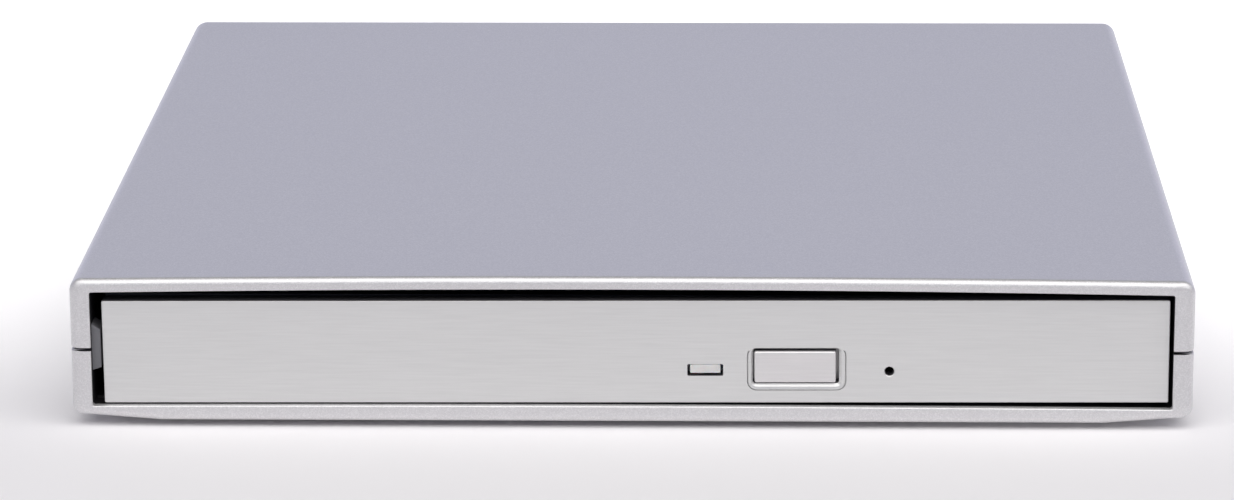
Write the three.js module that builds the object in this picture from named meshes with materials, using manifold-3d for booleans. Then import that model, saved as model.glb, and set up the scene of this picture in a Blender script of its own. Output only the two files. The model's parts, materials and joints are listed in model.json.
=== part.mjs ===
// A slim disc drive in a flat two-shell case, with a tray that slides out on two rails.
// Millimetres. The origin is under the middle of the case, on the surface that it stands on.
// The front is towards -Y and +Z is up. Sizes that are out of sight follow the usual build of such drives.
import * as THREE from "three";
import { mergeVertices } from "three/addons/utils/BufferGeometryUtils.js";
import Module from "manifold-3d";

// Clearances
const seat = 0.3;
const runningGap = 0.3;
const overrun = 2;

// Disc and the drive that is built round it
const discDiameter = 120;
const discMargin = 4;
const driveHeight = 12.7;
const driveRearRoom = 7.1;
const driveShift = 0.446;
const sheet = 0.5;

// Case
const sideRoom = 1.1;
const sideWall = 2.5;
const driveStand = 0.35;
const headRoom = 1;
const floorWall = 2.05;
const roofWall = 1.63;
const rearWall = 2;
const boardBay = 10.1;
const footHeight = 0.8;
const footRadius = 4.5;
const crownRise = 0.42;
const archRise = 0.57;
const lipRise = 0.22;
const lipDepth = 3.5;
const seamShare = 0.506;
const seamGap = 0.4;
const seamLipThick = 0.9;
const seamLipHeight = 1.2;
const seamLipInset = 1.2;
const frontRadius = 1.2;
const shoulderRadius = 1.6;
const rearCornerRadius = 2.2;
const keelRadius = 1.3;
const keelRise = 0.7;
const keelFlatShare = 0.843;
const mouthRadius = 0.8;
const locatingRib = 0.95;
const caseRib = 1.2;

// Bezel and what sits in it
const bezelLap = 0.2;
const bezelThick = 2;
const bezelInset = 0.8;
const bezelTilt = 0.0038;
const bezelCornerRadius = 0.5;
const clipLength = 3.7;
const clipThick = 0.8;
const lightShare = 0.1328125;
const lightZ = -2.33;
const lightSlotWidth = 4.33;
const lightSlotHeight = 1.47;
const lightPipeWidth = 3.7;
const lightPipeHeight = 1.03;
const buttonShare = 0.30171875;
const buttonZ = -1.96;
const buttonWidth = 9.8;
const buttonHeight = 3.92;
const buttonHoleAside = 0.1;
const buttonHoleZ = -1.85;
const buttonHoleWidth = 10.39;
const buttonHoleHeight = 4.45;
const surroundAside = 0.19;
const surroundZ = -2.15;
const surroundWidth = 11.75;
const surroundHeight = 5.35;
const surroundDepth = 0.6;
const surroundRadius = 1;
const buttonProud = 0.1;
const buttonThick = 1.3;
const buttonTravel = 0.7;
const buttonStem = 3;
const releaseShare = 0.47890625;
const releaseZ = -2.53;
const releaseRadius = 0.57;

// Tray, rails and the stack of heights in the drive
const discSpace = 4.4;
const wellDepth = 2.4;
const wellFloor = 0.8;
const wellRoom = 0.8;
const trayFrontWall = 1.1;
const trayBeam = 2;
const trayRearGap = 7.4;
const thumbRelief = 18;
const guideWeb = 0.7;
const guideDepth = 2;
const grooveDepth = 2;
const grooveWeb = 0.6;
const railHeight = 2.4;
const guideAhead = 6.5;
const guideBehind = 6;
const flange = 0.8;
const plateGauge = 0.4;
const ribbonGauge = 0.15;
const ribbonWidth = 24;
const ribbonRoom = 0.25;
const ribbonLoop = 0.4;
const ribbonFixShare = 0.3166667;
const trayTravel = 128;

// Disc mechanism, measured along and across the pickup's path
const pathTurn = (-3 * Math.PI) / 4;
const innerTrack = 24;
const discEdgeBand = 2;
const chassisGauge = 0.6;
const chassisWall = 0.5;
const chassisBar = 1.4;
const motorRadius = 11.5;
const motorBase = 1.2;
const coilHeight = 1.6;
const shaftRadius = 1.2;
const cupWall = 0.8;
const seatRadius = 15.2;
const seatGauge = 0.6;
const discRingRadius = 14.8;
const discRingInner = 11.6;
const discRingHeight = 0.4;
const hubRadius = 7.35;
const hubHeight = 2.1;
const clawWidth = 2.4;
const clawProud = 0.3;
const clawLength = 2.2;
const clawHeight = 0.8;
const trimGauge = 0.6;
const trimRim = 1.8;
const lensWindowHalf = 6.5;
const sledHalf = 11.4;
const sledAhead = 5;
const sledBehind = 8;
const sledHeight = 3.1;
const guideRodRadius = 1;
const guideRodOffset = 9.5;
const guideRodRise = 1.75;
const screwRadius = 0.9;
const stepperRadius = 2;
const stepperGap = 2.6;
const stepperStart = 6.4;
const nutHalf = 3;
const holderHalf = 4.5;
const holderHeight = 0.8;
const holderLift = 0.7;
const lensRadius = 2.1;
const lensHeight = 0.5;

// Latch and ejector, under the front right of the tray
const postShare = 0.625;
const postBack = 16.9;
const postRadius = 1.1;
const pivotShare = 0.734375;
const pivotAhead = 6;
const pivotRadius = 0.9;
const pivotHeadRadius = 2;
const latchHubRadius = 2.2;
const latchGauge = 1.2;
const latchBar = 1.8;
const latchRise = 1.05;
const toothLength = 2;
const toothBehind = 1.6;
const toothReach = 3.2;
const tailAhead = 4.5;
const solenoidShare = 0.5390625;
const solenoidWidth = 7;
const solenoidLength = 11;
const solenoidHeight = 4.1;
const plungerRadius = 1;
const plungerTipGap = 1.55;
const plungerReach = 2.4;
const ejectorInset = 6.9;
const ejectorRadius = 1.1;
const ejectorCollar = 2.2;
const ejectorCollarThick = 1;
const ejectorLength = 32;
const ejectorTravel = 10;
const ejectorWall = 1;
const springTurns = 9;
const springRadius = 1.75;
const springWire = 0.2;
const springLength = 14.4;

// Boards and connectors
const boardGauge = 0.8;
const boardStand = 1.05;
const boardClear = 4.2;
const chipSide = 14;
const chipHeight = 1.1;
const socketWidth = 36;
const socketDepth = 6.4;
const socketHeight = 3.9;
const socketWall = 1.2;
const plugGauge = 1.2;
const bridgeStand = 3;
const bridgeGauge = 1;
const bridgeMargin = 7.088;
const plugBodyDepth = 4;
const plugEntry = 4;
const inletX = -30;
const inletWidth = 8;
const inletHeight = 3.9;
const inletDepth = 8.2;
const inletWall = 0.4;
const inletTongueWidth = 5;
const inletTongueGauge = 0.9;
const frontBoardAside = 4.5;
const releaseAside = 2.65;
const frontBoardDepth = 7;
const frontBoardRise = 0.35;
const switchWidth = 4.5;
const switchHeight = 2.6;
const switchDepth = 2.4;
const lampWidth = 1.6;
const lampHeight = 0.9;
const screwShank = 0.8;
const screwHead = 1.9;
const screwHeadHeight = 1;
const screwDrive = 0.5;
const bossWall = 1.3;
const boardScrewShare = 0.88;
const caseScrewShare = 0.88;

// Steps of round forms
const roundSteps = 24;
const fineSteps = 72;
const arcSteps = 5;
const crownSteps = 6;

// Widths and depths worked out from these
const driveWidth = discDiameter + 2 * discMargin;
const driveDepth = discDiameter + driveRearRoom;
const driveHalf = driveWidth / 2;
const cavityHalf = driveHalf + sideRoom;
const caseHalf = cavityHalf + sideWall;
const caseHeight = floorWall + driveStand + driveHeight + headRoom + roofWall;
const caseDepth = bezelInset + driveDepth + boardBay + rearWall;
const front = -caseDepth / 2;
const rear = caseDepth / 2;
const shoulderZ = footHeight + caseHeight;
const floorZ = footHeight + floorWall;
const roofZ = shoulderZ - roofWall;
const seamZ = footHeight + caseHeight * seamShare;
const driveBottom = floorZ + driveStand;
const driveTop = driveBottom + driveHeight;
const bezelZ = driveBottom + driveHeight / 2;
const bezelFront = front + bezelInset;
const bezelBack = bezelFront + bezelThick;
const driveFront = bezelBack + 2 * seat;
const driveRear = bezelFront + driveDepth;
const cavityRear = rear - rearWall;

// Heights in the drive
const coverUnder = driveTop - sheet;
const wellZ = coverUnder - discSpace;
const wellUnder = wellZ - wellFloor;
const trayTop = wellZ + wellDepth;
const grooveTop = wellUnder - ribbonLoop / 4;
const railTop = grooveTop - runningGap;
const railBottom = railTop - railHeight;
const grooveBottom = railBottom - runningGap;
const beamBottom = grooveBottom - flange;
const panFloor = driveBottom + sheet;
const ribbonLow = panFloor + ribbonRoom;
const ribbonHigh = ribbonLow + ribbonGauge + ribbonLoop;
const underplateLow = ribbonHigh + ribbonGauge + ribbonRoom;
const underplateTop = underplateLow + plateGauge;
const chassisLow = underplateTop + ribbonRoom;
const chassisTop = chassisLow + chassisGauge;

// Places across the drive, from its centre
const wallInner = driveHalf - sheet;
const guideOuter = wallInner - seat;
const guideInner = guideOuter - guideDepth;
const railOuter = guideOuter - guideWeb - runningGap;
const trayHalf = guideInner - runningGap;
const grooveInner = trayHalf - grooveDepth;
const railInner = grooveInner + runningGap;
const beamInner = grooveInner - grooveWeb;

const lightX = driveHalf * lightShare;
const buttonX = driveHalf * buttonShare;
const buttonHoleX = buttonX + buttonHoleAside;
const surroundX = buttonX + surroundAside;
const releaseX = driveHalf * releaseShare;
const postX = driveHalf * postShare;
const pivotX = driveHalf * pivotShare;
const solenoidX = driveHalf * solenoidShare;
const ejectorX = trayHalf - ejectorInset;
const trimHalf = seatRadius + trimRim;

// Places along the drive
const trayFront = bezelBack + seat;
const beamRear = trayFront + trayBeam;
const wellRadius = discDiameter / 2 + wellRoom;
const spindleY = trayFront + trayFrontWall + wellRadius;
const trayRear = driveRear - sheet - trayRearGap;
const postY = trayFront + postBack;
const underplateRear = spindleY + ribbonWidth * 0.9;
const mainBoardRear = driveRear - sheet - 2 * seat;
const mainBoardFront = underplateRear + boardClear;

const wasm = await Module();
wasm.setup();

// Joining and cutting

// A closed geometry as a solid, with its faces turned outwards.
function solid(geometry) {
  const bare = geometry.index ? geometry.toNonIndexed() : geometry.clone();
  bare.deleteAttribute("normal");
  bare.deleteAttribute("uv");
  const merged = mergeVertices(bare, discDiameter * 1e-6);
  const vertProperties = merged.attributes.position.array;
  const triVerts = new Uint32Array(merged.index.array);
  const [a, b, c] = [0, 1, 2].map(() => new THREE.Vector3());
  let volume = 0;
  for (let i = 0; i < triVerts.length; i += 3) {
    a.fromArray(vertProperties, 3 * triVerts[i]);
    b.fromArray(vertProperties, 3 * triVerts[i + 1]);
    c.fromArray(vertProperties, 3 * triVerts[i + 2]);
    volume += a.dot(b.cross(c));
  }
  if (volume < 0) {
    for (let i = 0; i < triVerts.length; i += 3) {
      [triVerts[i + 1], triVerts[i + 2]] = [triVerts[i + 2], triVerts[i + 1]];
    }
  }
  return new wasm.Manifold(new wasm.Mesh({ numProp: 3, vertProperties, triVerts }));
}

function join(...geometries) {
  return geometries.map(solid).reduce((all, next) => all.add(next));
}

function cut(body, ...tools) {
  return tools.map(solid).reduce((left, tool) => left.subtract(tool), body);
}

// Simple forms

function block([x0, x1], [y0, y1], [z0, z1]) {
  const geometry = new THREE.BoxGeometry(x1 - x0, y1 - y0, z1 - z0);
  return geometry.translate((x0 + x1) / 2, (y0 + y1) / 2, (z0 + z1) / 2);
}

const around = (middle, size) => [middle - size / 2, middle + size / 2];

// A round bar along Z, over the point (x, y).
function post(radius, [z0, z1], x = 0, y = 0, steps = roundSteps) {
  const geometry = new THREE.CylinderGeometry(radius, radius, z1 - z0, steps);
  return geometry.rotateX(Math.PI / 2).translate(x, y, (z0 + z1) / 2);
}

// A round bar along Y, through the point (x, z).
function barAlongY(radius, [y0, y1], x, z, steps = roundSteps) {
  const geometry = new THREE.CylinderGeometry(radius, radius, y1 - y0, steps);
  return geometry.translate(x, (y0 + y1) / 2, z);
}

// A round bar along X, through the point (y, z).
function barAlongX(radius, [x0, x1], y, z, steps = roundSteps) {
  const geometry = new THREE.CylinderGeometry(radius, radius, x1 - x0, steps);
  return geometry.rotateZ(Math.PI / 2).translate((x0 + x1) / 2, y, z);
}

// A form turned about Z from a closed profile of [radius, height] points.
function turned(profile, steps = fineSteps) {
  const points = [...profile, profile[0]].map(([r, z]) => new THREE.Vector2(r, z));
  return new THREE.LatheGeometry(points, steps).rotateX(Math.PI / 2);
}

// A flat link with square ends between two points, in a band of heights.
function link([x0, y0], [x1, y1], width, [z0, z1]) {
  const length = Math.hypot(x1 - x0, y1 - y0);
  const geometry = new THREE.BoxGeometry(length, width, z1 - z0);
  geometry.rotateZ(Math.atan2(y1 - y0, x1 - x0));
  return geometry.translate((x0 + x1) / 2, (y0 + y1) / 2, (z0 + z1) / 2);
}

// A closed skin over outlines in the XZ plane, all with as many points, at rising Y.
function loft(stations) {
  const count = stations[0].outline.length;
  const positions = [];
  stations.forEach(({ y, outline }) => outline.forEach((p) => positions.push(p.x, y, p.y)));
  const faces = [];
  for (let s = 0; s + 1 < stations.length; s += 1) {
    for (let i = 0; i < count; i += 1) {
      const a = s * count + i;
      const b = s * count + ((i + 1) % count);
      faces.push(a, b, a + count, b, b + count, a + count);
    }
  }
  const lid = THREE.ShapeUtils.triangulateShape(stations[0].outline, []);
  const last = (stations.length - 1) * count;
  lid.forEach(([a, b, c]) => faces.push(a, c, b, last + a, last + b, last + c));
  const geometry = new THREE.BufferGeometry();
  geometry.setAttribute("position", new THREE.Float32BufferAttribute(positions, 3));
  geometry.setIndex(faces);
  return geometry;
}

function arc(x, z, radius, from, to, steps = arcSteps) {
  return Array.from({ length: steps + 1 }, (_, k) => {
    const angle = from + ((to - from) * k) / steps;
    return new THREE.Vector2(x + radius * Math.cos(angle), z + radius * Math.sin(angle));
  });
}

function roundedOutline(x, z, width, height, radius) {
  const [left, right] = around(x, width - 2 * radius);
  const [low, high] = around(z, height - 2 * radius);
  const quarter = Math.PI / 2;
  return [
    ...arc(right, low, radius, -quarter, 0),
    ...arc(right, high, radius, 0, quarter),
    ...arc(left, high, radius, quarter, 2 * quarter),
    ...arc(left, low, radius, 2 * quarter, 3 * quarter),
  ];
}

// Nodes

const finishes = {
  shell: { color: 0xb0b1bf, roughness: 0.42, metalness: 0.35 },
  bezel: { color: 0xcfcfd4, roughness: 0.36, metalness: 0.25 },
  steel: { color: 0xa9acb0, roughness: 0.35, metalness: 0.9 },
  tray: { color: 0x26272a, roughness: 0.6, metalness: 0 },
  trim: { color: 0x34363a, roughness: 0.4, metalness: 0.4 },
  rubber: { color: 0x1b1b1c, roughness: 0.9, metalness: 0 },
  board: { color: 0x1f5a37, roughness: 0.55, metalness: 0 },
  chip: { color: 0x17181a, roughness: 0.5, metalness: 0 },
  light: { color: 0xd9dfe2, roughness: 0.25, metalness: 0 },
  socket: { color: 0x121213, roughness: 0.5, metalness: 0 },
  brass: { color: 0xb7893f, roughness: 0.35, metalness: 0.9 },
  ribbon: { color: 0xe3e1d8, roughness: 0.5, metalness: 0 },
  lens: { color: 0x8fb3c9, roughness: 0.05, metalness: 0 },
};

function node(parent, name, form, finish) {
  const made = form instanceof wasm.Manifold ? form : solid(form);
  const mesh = made.getMesh();
  const geometry = new THREE.BufferGeometry();
  geometry.setAttribute("position", new THREE.BufferAttribute(mesh.vertProperties, 3));
  geometry.setIndex(new THREE.BufferAttribute(mesh.triVerts, 1));
  geometry.computeVertexNormals();
  const placed = new THREE.Mesh(geometry, new THREE.MeshStandardMaterial(finishes[finish]));
  placed.name = name;
  parent.add(placed);
  return placed;
}

const drive = new THREE.Group();
drive.position.x = driveShift;
const face = new THREE.Group();
face.position.set(driveShift, 0, bezelZ);
face.rotation.y = -bezelTilt;
const path = new THREE.Group();
path.position.set(driveShift, spindleY, 0);
path.rotation.z = pathTurn;
const shells = new THREE.Group();
const unit = new THREE.Group();
unit.add(shells, drive, face, path);

// Case shells

// How far a rounded edge has drawn in at a distance from the face that it rounds into.
function drawnIn(distance, radius) {
  if (distance >= radius) return 0;
  return radius - Math.sqrt(radius ** 2 - (radius - distance) ** 2);
}

const fade = (y) => (rear - y) / caseDepth;
const mirrored = (half) => [...half, ...half.map((p) => new THREE.Vector2(-p.x, p.y)).reverse()];

// The case's outer outline, from its underside up the right side to the crown, and back.
function outerOutline(y) {
  const ahead = y - front;
  const behind = rear - y;
  const side = drawnIn(ahead, frontRadius) + drawnIn(behind, rearCornerRadius);
  const top = drawnIn(ahead, frontRadius) + drawnIn(behind, shoulderRadius);
  const half = caseHalf - side;
  const keelX = half - keelRadius;
  const keelZ = footHeight + keelRise + top;
  const shoulderX = half - shoulderRadius;
  const shoulder = shoulderZ - top;
  const quarter = Math.PI / 2;
  const crown = Array.from({ length: crownSteps }, (_, k) => {
    const share = 1 - (k + 1) / (crownSteps + 0.5);
    const rise = crownRise * fade(y) * (1 - share ** 2);
    return new THREE.Vector2(shoulderX * share, shoulder + rise);
  });
  return mirrored([
    new THREE.Vector2(half * keelFlatShare, footHeight + top),
    ...arc(keelX, keelZ + keelRadius, keelRadius, -quarter, 0),
    ...arc(shoulderX, shoulder - shoulderRadius, shoulderRadius, 0, quarter),
    ...crown,
  ]);
}

function edgeStations() {
  const turn = (k) => (Math.PI / 2) * (k / arcSteps);
  const steps = Array.from({ length: arcSteps + 1 }, (_, k) => k);
  const ahead = steps.map((k) => front + frontRadius * (1 - Math.cos(turn(k))));
  const behind = steps.map((k) => rear - rearCornerRadius * (1 - Math.cos(turn(k))));
  return [...ahead, ...behind.reverse()];
}

// The hollow of the case: its roof is arched, and its floor rises a little at the front lip.
function cavityOutline(y, floorRise) {
  const half = cavityHalf;
  const x = half - mouthRadius;
  const quarter = Math.PI / 2;
  const shares = Array.from({ length: crownSteps }, (_, k) => 1 - (k + 1) / (crownSteps + 0.5));
  const roof = shares.map((share) => {
    const rise = archRise * fade(y) * (1 - share ** 2);
    return new THREE.Vector2(x * share, roofZ + rise);
  });
  const floor = shares.map((share) => {
    return new THREE.Vector2(x * share, floorZ + floorRise * (1 - share ** 2));
  });
  return mirrored([
    ...floor.reverse(),
    ...arc(x, floorZ + mouthRadius, mouthRadius, -quarter, 0),
    ...arc(x, roofZ - mouthRadius, mouthRadius, 0, quarter),
    ...roof,
  ]);
}

function caseParts() {
  const outer = solid(loft(edgeStations().map((y) => ({ y, outline: outerOutline(y) }))));
  const hollowAt = (y, rise) => ({ y, outline: cavityOutline(y, rise) });
  const hollow = loft([
    hollowAt(front - overrun, lipRise),
    hollowAt(front + lipDepth, lipRise),
    hollowAt(front + lipDepth + lipRise, 0),
    hollowAt(cavityRear, 0),
  ]);
  const wide = [-caseHalf - overrun, caseHalf + overrun];
  const long = [front - overrun, rear + overrun];
  const shell = cut(outer, hollow);
  const lower = cut(shell, block(wide, long, [seamZ - seamGap / 2, shoulderZ + overrun]));
  const upper = cut(shell, block(wide, long, [-overrun, seamZ + seamGap / 2]));
  return { lower, upper };
}

// A standing lip round the sides and back of the seam, grown by room on its outer faces.
function seamLip(room, [z0, z1]) {
  const half = cavityHalf + seamLipThick + room;
  const lipFront = front + seamLipInset - room;
  const ring = solid(block([-half, half], [lipFront, cavityRear + seamLipThick + room], [z0, z1]));
  const inside = [-cavityHalf, cavityHalf];
  const tall = [z0 - overrun, z1 + overrun];
  return cut(ring, block(inside, [front - overrun, cavityRear], tall));
}

const caseScrewX = caseHalf * caseScrewShare;
const bayY = (driveRear + cavityRear) / 2;
const bossRadius = screwShank + runningGap + bossWall;
const bossTop = floorZ + bossWall + screwHead;
const inletSpan = around(inletX, inletWidth + 2 * runningGap);
const bridgeLow = floorZ + bridgeStand;
const bridgeTop = bridgeLow + bridgeGauge;
const inletHole = () =>
  block(inletSpan, [cavityRear - overrun, rear + overrun], [
    bridgeTop - runningGap,
    bridgeTop + inletHeight + runningGap,
  ]);
const bridgeHalf = caseScrewX - bossRadius - bridgeMargin;
const bridgeScrewX = bridgeHalf * boardScrewShare;
const bridgeScrewY = cavityRear - screwHead - 2 * seat;
const mirrorX = (x, make) => [-x, x].map(make);

function bottomShell(lower) {
  const lip = seamLip(0, [seamZ - seamGap / 2 - seamLipThick, seamZ + seamLipHeight]);
  const lipTop = seamZ + seamLipHeight;
  const ribY = [front + seamLipInset, front + seamLipInset + lipDepth];
  const ribX = [-cavityHalf - seamLipThick / 2, -cavityHalf + locatingRib];
  const ribLow = bezelZ - driveHeight / 5;
  const ribHigh = bezelZ + driveHeight * 0.225;
  const shell = lower
    .add(lip)
    .add(solid(block(ribX, ribY, [ribLow, lipTop])))
    .add(solid(block([-cavityHalf + seat, ribX[1]], ribY, [ribLow, ribHigh])));
  const footing = floorZ - floorWall / 2;
  const caseBosses = mirrorX(caseScrewX, (x) => post(bossRadius, [footing, bossTop], x, bayY));
  const boardBosses = mirrorX(bridgeScrewX, (x) =>
    post(bossRadius, [footing, bridgeLow - seat], x, bridgeScrewY),
  );
  const full = [...caseBosses, ...boardBosses]
    .map(solid)
    .reduce((all, next) => all.add(next), shell);
  const bores = mirrorX(caseScrewX, (x) =>
    post(screwShank + runningGap, [-overrun, bossTop + overrun], x, bayY),
  );
  const sinks = mirrorX(caseScrewX, (x) =>
    post(screwHead + runningGap, [-overrun, footHeight + seat + screwHeadHeight + seat], x, bayY),
  );
  const pilots = mirrorX(bridgeScrewX, (x) =>
    post(screwShank + runningGap, [floorZ + seat, bridgeLow], x, bridgeScrewY),
  );
  return cut(full, ...bores, ...sinks, ...pilots, inletHole());
}

function topShell(upper) {
  const rebate = seamLip(runningGap, [seamZ - overrun, seamZ + seamLipHeight + runningGap]);
  const bosses = mirrorX(caseScrewX, (x) =>
    post(bossRadius, [bossTop + seat, roofZ + roofWall / 2], x, bayY),
  );
  const ribSpan = [-cavityHalf - sideWall / 2, cavityHalf + sideWall / 2];
  const ribs = [-driveDepth / 6, driveDepth / 4].map((y) =>
    block(ribSpan, around(y, caseRib), [driveTop + seat, roofZ + roofWall / 2]),
  );
  const body = [...bosses, ...ribs]
    .map(solid)
    .reduce((all, next) => all.add(next), upper.subtract(rebate));
  const bores = mirrorX(caseScrewX, (x) =>
    post(screwShank + runningGap, [bossTop, roofZ - bossWall], x, bayY),
  );
  return cut(body, ...bores, inletHole());
}

// A screw standing on the point (x, y, z) of its head's outer face, its shank along +Z.
function screw(headRadius, length) {
  const head = post(headRadius, [0, screwHeadHeight]);
  const shank = post(screwShank, [screwHeadHeight / 2, length], 0, 0, arcSteps * 2);
  const slots = [0, Math.PI / 2].map((turn) =>
    block(around(0, headRadius * 1.2), around(0, headRadius / 4), [-overrun, screwDrive]).rotateZ(turn),
  );
  return cut(join(head, shank), ...slots);
}

function buildCase() {
  const { lower, upper } = caseParts();
  node(shells, "bottom_shell", bottomShell(lower), "shell");
  node(shells, "top_shell", topShell(upper), "shell");
  const footX = caseHalf - keelRadius - 3.6 * footRadius;
  const footY = caseDepth / 2 - 2.6 * footRadius;
  const footBevel = footHeight / 4;
  const profile = [
    [0, 0],
    [footRadius - footBevel, 0],
    [footRadius, footBevel],
    [footRadius, footHeight],
    [0, footHeight],
  ];
  [[-footX, -footY], [footX, -footY], [-footX, footY], [footX, footY]].forEach(([x, y], k) => {
    const foot = node(shells, `rubber_foot_${k + 1}`, turned(profile, roundSteps), "rubber");
    foot.position.set(x, y, 0);
  });
  const screwLength = (bossTop + roofZ) / 2 - footHeight;
  [-caseScrewX, caseScrewX].forEach((x, k) => {
    const fastener = node(shells, `case_screw_${k + 1}`, screw(screwHead, screwLength), "steel");
    fastener.position.set(x, bayY, footHeight + seat);
  });
}

// Bridge board, behind the drive

const mainBoardLow = panFloor + boardStand;
const mainBoardTop = mainBoardLow + boardGauge;
const socketRear = driveRear - sheet - seat;
const socketSlotLow = bridgeTop;
const socketSlotTop = socketSlotLow + plugGauge + 2 * runningGap;
const socketTop = mainBoardTop + socketHeight;
const socketX = socketWidth / 2;

function bridgeBoard() {
  const boardFront = driveRear + 2 * seat;
  const boardRear = cavityRear - seat;
  const board = solid(block([-bridgeHalf, bridgeHalf], [boardFront, boardRear], [bridgeLow, bridgeTop]));
  const holes = mirrorX(bridgeScrewX, (x) =>
    post(screwShank + runningGap, [bridgeLow - overrun, bridgeTop + overrun], x, bridgeScrewY),
  );
  node(shells, "bridge_board", cut(board, ...holes), "board");
  [-bridgeScrewX, bridgeScrewX].forEach((x, k) => {
    const fastener = node(shells, `board_screw_${k + 1}`, screw(screwHead, bridgeStand), "steel");
    fastener.rotation.x = Math.PI;
    fastener.position.set(x, bridgeScrewY, bridgeTop + seat + screwHeadHeight);
  });
  const chipX = inletX + inletWidth + chipSide / 2;
  node(
    shells,
    "bridge_chip",
    block(around(chipX, chipSide / 2), around((boardFront + boardRear) / 2, chipSide / 2), [
      bridgeTop,
      bridgeTop + chipHeight,
    ]),
    "chip",
  );
}

function bridgePlug() {
  const start = driveRear + 3 * seat;
  const body = block(around(socketX, socketWidth), [start, start + plugBodyDepth], [
    bridgeTop,
    socketSlotTop + socketWall,
  ]);
  const tongue = block(
    around(socketX, socketWidth - 2 * socketWall - 2 * runningGap),
    [driveRear - plugEntry, start + plugBodyDepth / 2],
    [socketSlotLow + runningGap, socketSlotTop - runningGap],
  );
  node(drive, "bridge_plug", join(body, tongue), "socket");
}

function cableInlet() {
  const inletFront = rear - seat - inletDepth;
  const [z0, z1] = [bridgeTop, bridgeTop + inletHeight];
  const span = around(inletX, inletWidth);
  const inside = around(inletX, inletWidth - 2 * inletWall);
  const shell = cut(
    solid(block(span, [inletFront, rear - seat], [z0, z1])),
    block(inside, [inletFront + inletWall, rear + overrun], [z0 + inletWall, z1 - inletWall]),
  );
  node(shells, "usb_inlet_shell", shell, "steel");
  const tongue = block(
    around(inletX, inletTongueWidth),
    [inletFront + inletWall + seat, rear - seat - inletDepth / 5],
    around((z0 + z1) / 2, inletTongueGauge),
  );
  node(shells, "usb_inlet_tongue", tongue, "socket");
}

// Drive frame

const coverScrewZ = driveTop - 3.4 * screwHeadHeight;
const coverScrewX = driveHalf - 3 * screwHead;
const guideFront = driveFront + guideAhead;
const guideLength = driveRear - guideBehind - guideFront;
const railLength = guideLength - 2 * guideDepth;
const springFront = beamRear + 5 * ejectorWall + seat;
const tabY = springFront + ejectorLength + seat;
const ejectorZ = railBottom + ejectorRadius / 2;

function driveBase() {
  const wallTop = coverUnder - seat;
  const floor = block([-driveHalf, driveHalf], [driveFront, driveRear], [driveBottom, panFloor]);
  const sides = [
    block([-driveHalf, -wallInner], [driveFront, driveRear], [driveBottom, wallTop]),
    block([wallInner, driveHalf], [driveFront, driveRear], [driveBottom, wallTop]),
  ];
  const back = block([-driveHalf, driveHalf], [driveRear - sheet, driveRear], [driveBottom, wallTop]);
  const standX = driveHalf * 0.84;
  const standY = [mainBoardRear - 3 * boardStand, mainBoardFront + 3 * boardStand];
  const stands = standY.flatMap((y) =>
    mirrorX(standX, (x) => post(2 * boardStand, [panFloor - sheet / 2, mainBoardLow - seat], x, y)),
  );
  const tab = block(around(ejectorX, 2 * ejectorCollar), [tabY, tabY + sheet], [
    driveBottom,
    ejectorZ + ejectorRadius,
  ]);
  const mouth = block(
    [socketX - socketWidth / 2 - seat, socketX + socketWidth / 2 + seat],
    [driveRear - overrun, driveRear + overrun],
    [mainBoardTop - seat, socketTop + seat],
  );
  const holes = mirrorX(coverScrewX, (x) =>
    barAlongY(screwShank + runningGap, [driveRear - overrun, driveRear + overrun], x, coverScrewZ),
  );
  const pan = join(floor, ...sides, back, ...stands, tab);
  node(drive, "drive_base", cut(pan, mouth, ...holes), "steel");
}

function driveCover() {
  const flangeX = wallInner - seat;
  const flangeLow = coverScrewZ - screwHead;
  const top = block([-driveHalf, driveHalf], [driveFront, driveRear], [coverUnder, driveTop]);
  const backY = driveRear - sheet - seat;
  const skirts = [
    block([-flangeX, -flangeX + sheet], [driveFront, backY], [coverUnder - screwHead, driveTop]),
    block([flangeX - sheet, flangeX], [driveFront, backY], [coverUnder - screwHead, driveTop]),
    block([-flangeX, flangeX], [backY - sheet, backY], [flangeLow, driveTop]),
  ];
  const holes = mirrorX(coverScrewX, (x) =>
    barAlongY(screwShank + runningGap, [backY - overrun, driveRear], x, coverScrewZ),
  );
  node(drive, "drive_cover", cut(join(top, ...skirts), ...holes), "steel");
  const length = screwHeadHeight + 5 * sheet;
  [-coverScrewX, coverScrewX].forEach((x, k) => {
    const fastener = node(drive, `cover_screw_${k + 1}`, screw(screwHead, length), "steel");
    fastener.rotation.x = Math.PI / 2;
    fastener.position.set(x, driveRear + seat + screwHeadHeight, coverScrewZ);
  });
}

function railGuides() {
  const span = [guideFront, guideFront + guideLength];
  [["left", -1], ["right", 1]].forEach(([side, way]) => {
    const across = (a, b) => [Math.min(a * way, b * way), Math.max(a * way, b * way)];
    const heights = [beamBottom, grooveTop + flange];
    const body = solid(block(across(guideInner, guideOuter), span, heights));
    const channel = block(
      across(guideInner - overrun, railOuter + runningGap),
      [span[0] - overrun, span[1] + overrun],
      [grooveBottom, grooveTop],
    );
    node(drive, `rail_guide_${side}`, cut(body, channel), "socket");
    const railFront = span[0] + guideDepth;
    const rail = block(
      across(railInner, railOuter),
      [railFront, railFront + railLength],
      [railBottom, railTop],
    );
    const relief = block(
      across(railInner + grooveWeb, railOuter - grooveWeb),
      [span[0] + 3 * guideDepth, span[0] + railLength - guideDepth],
      [railTop - grooveWeb, railTop + overrun],
    );
    node(drive, `rail_${side}`, cut(solid(rail), relief), "steel");
  });
}

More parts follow.
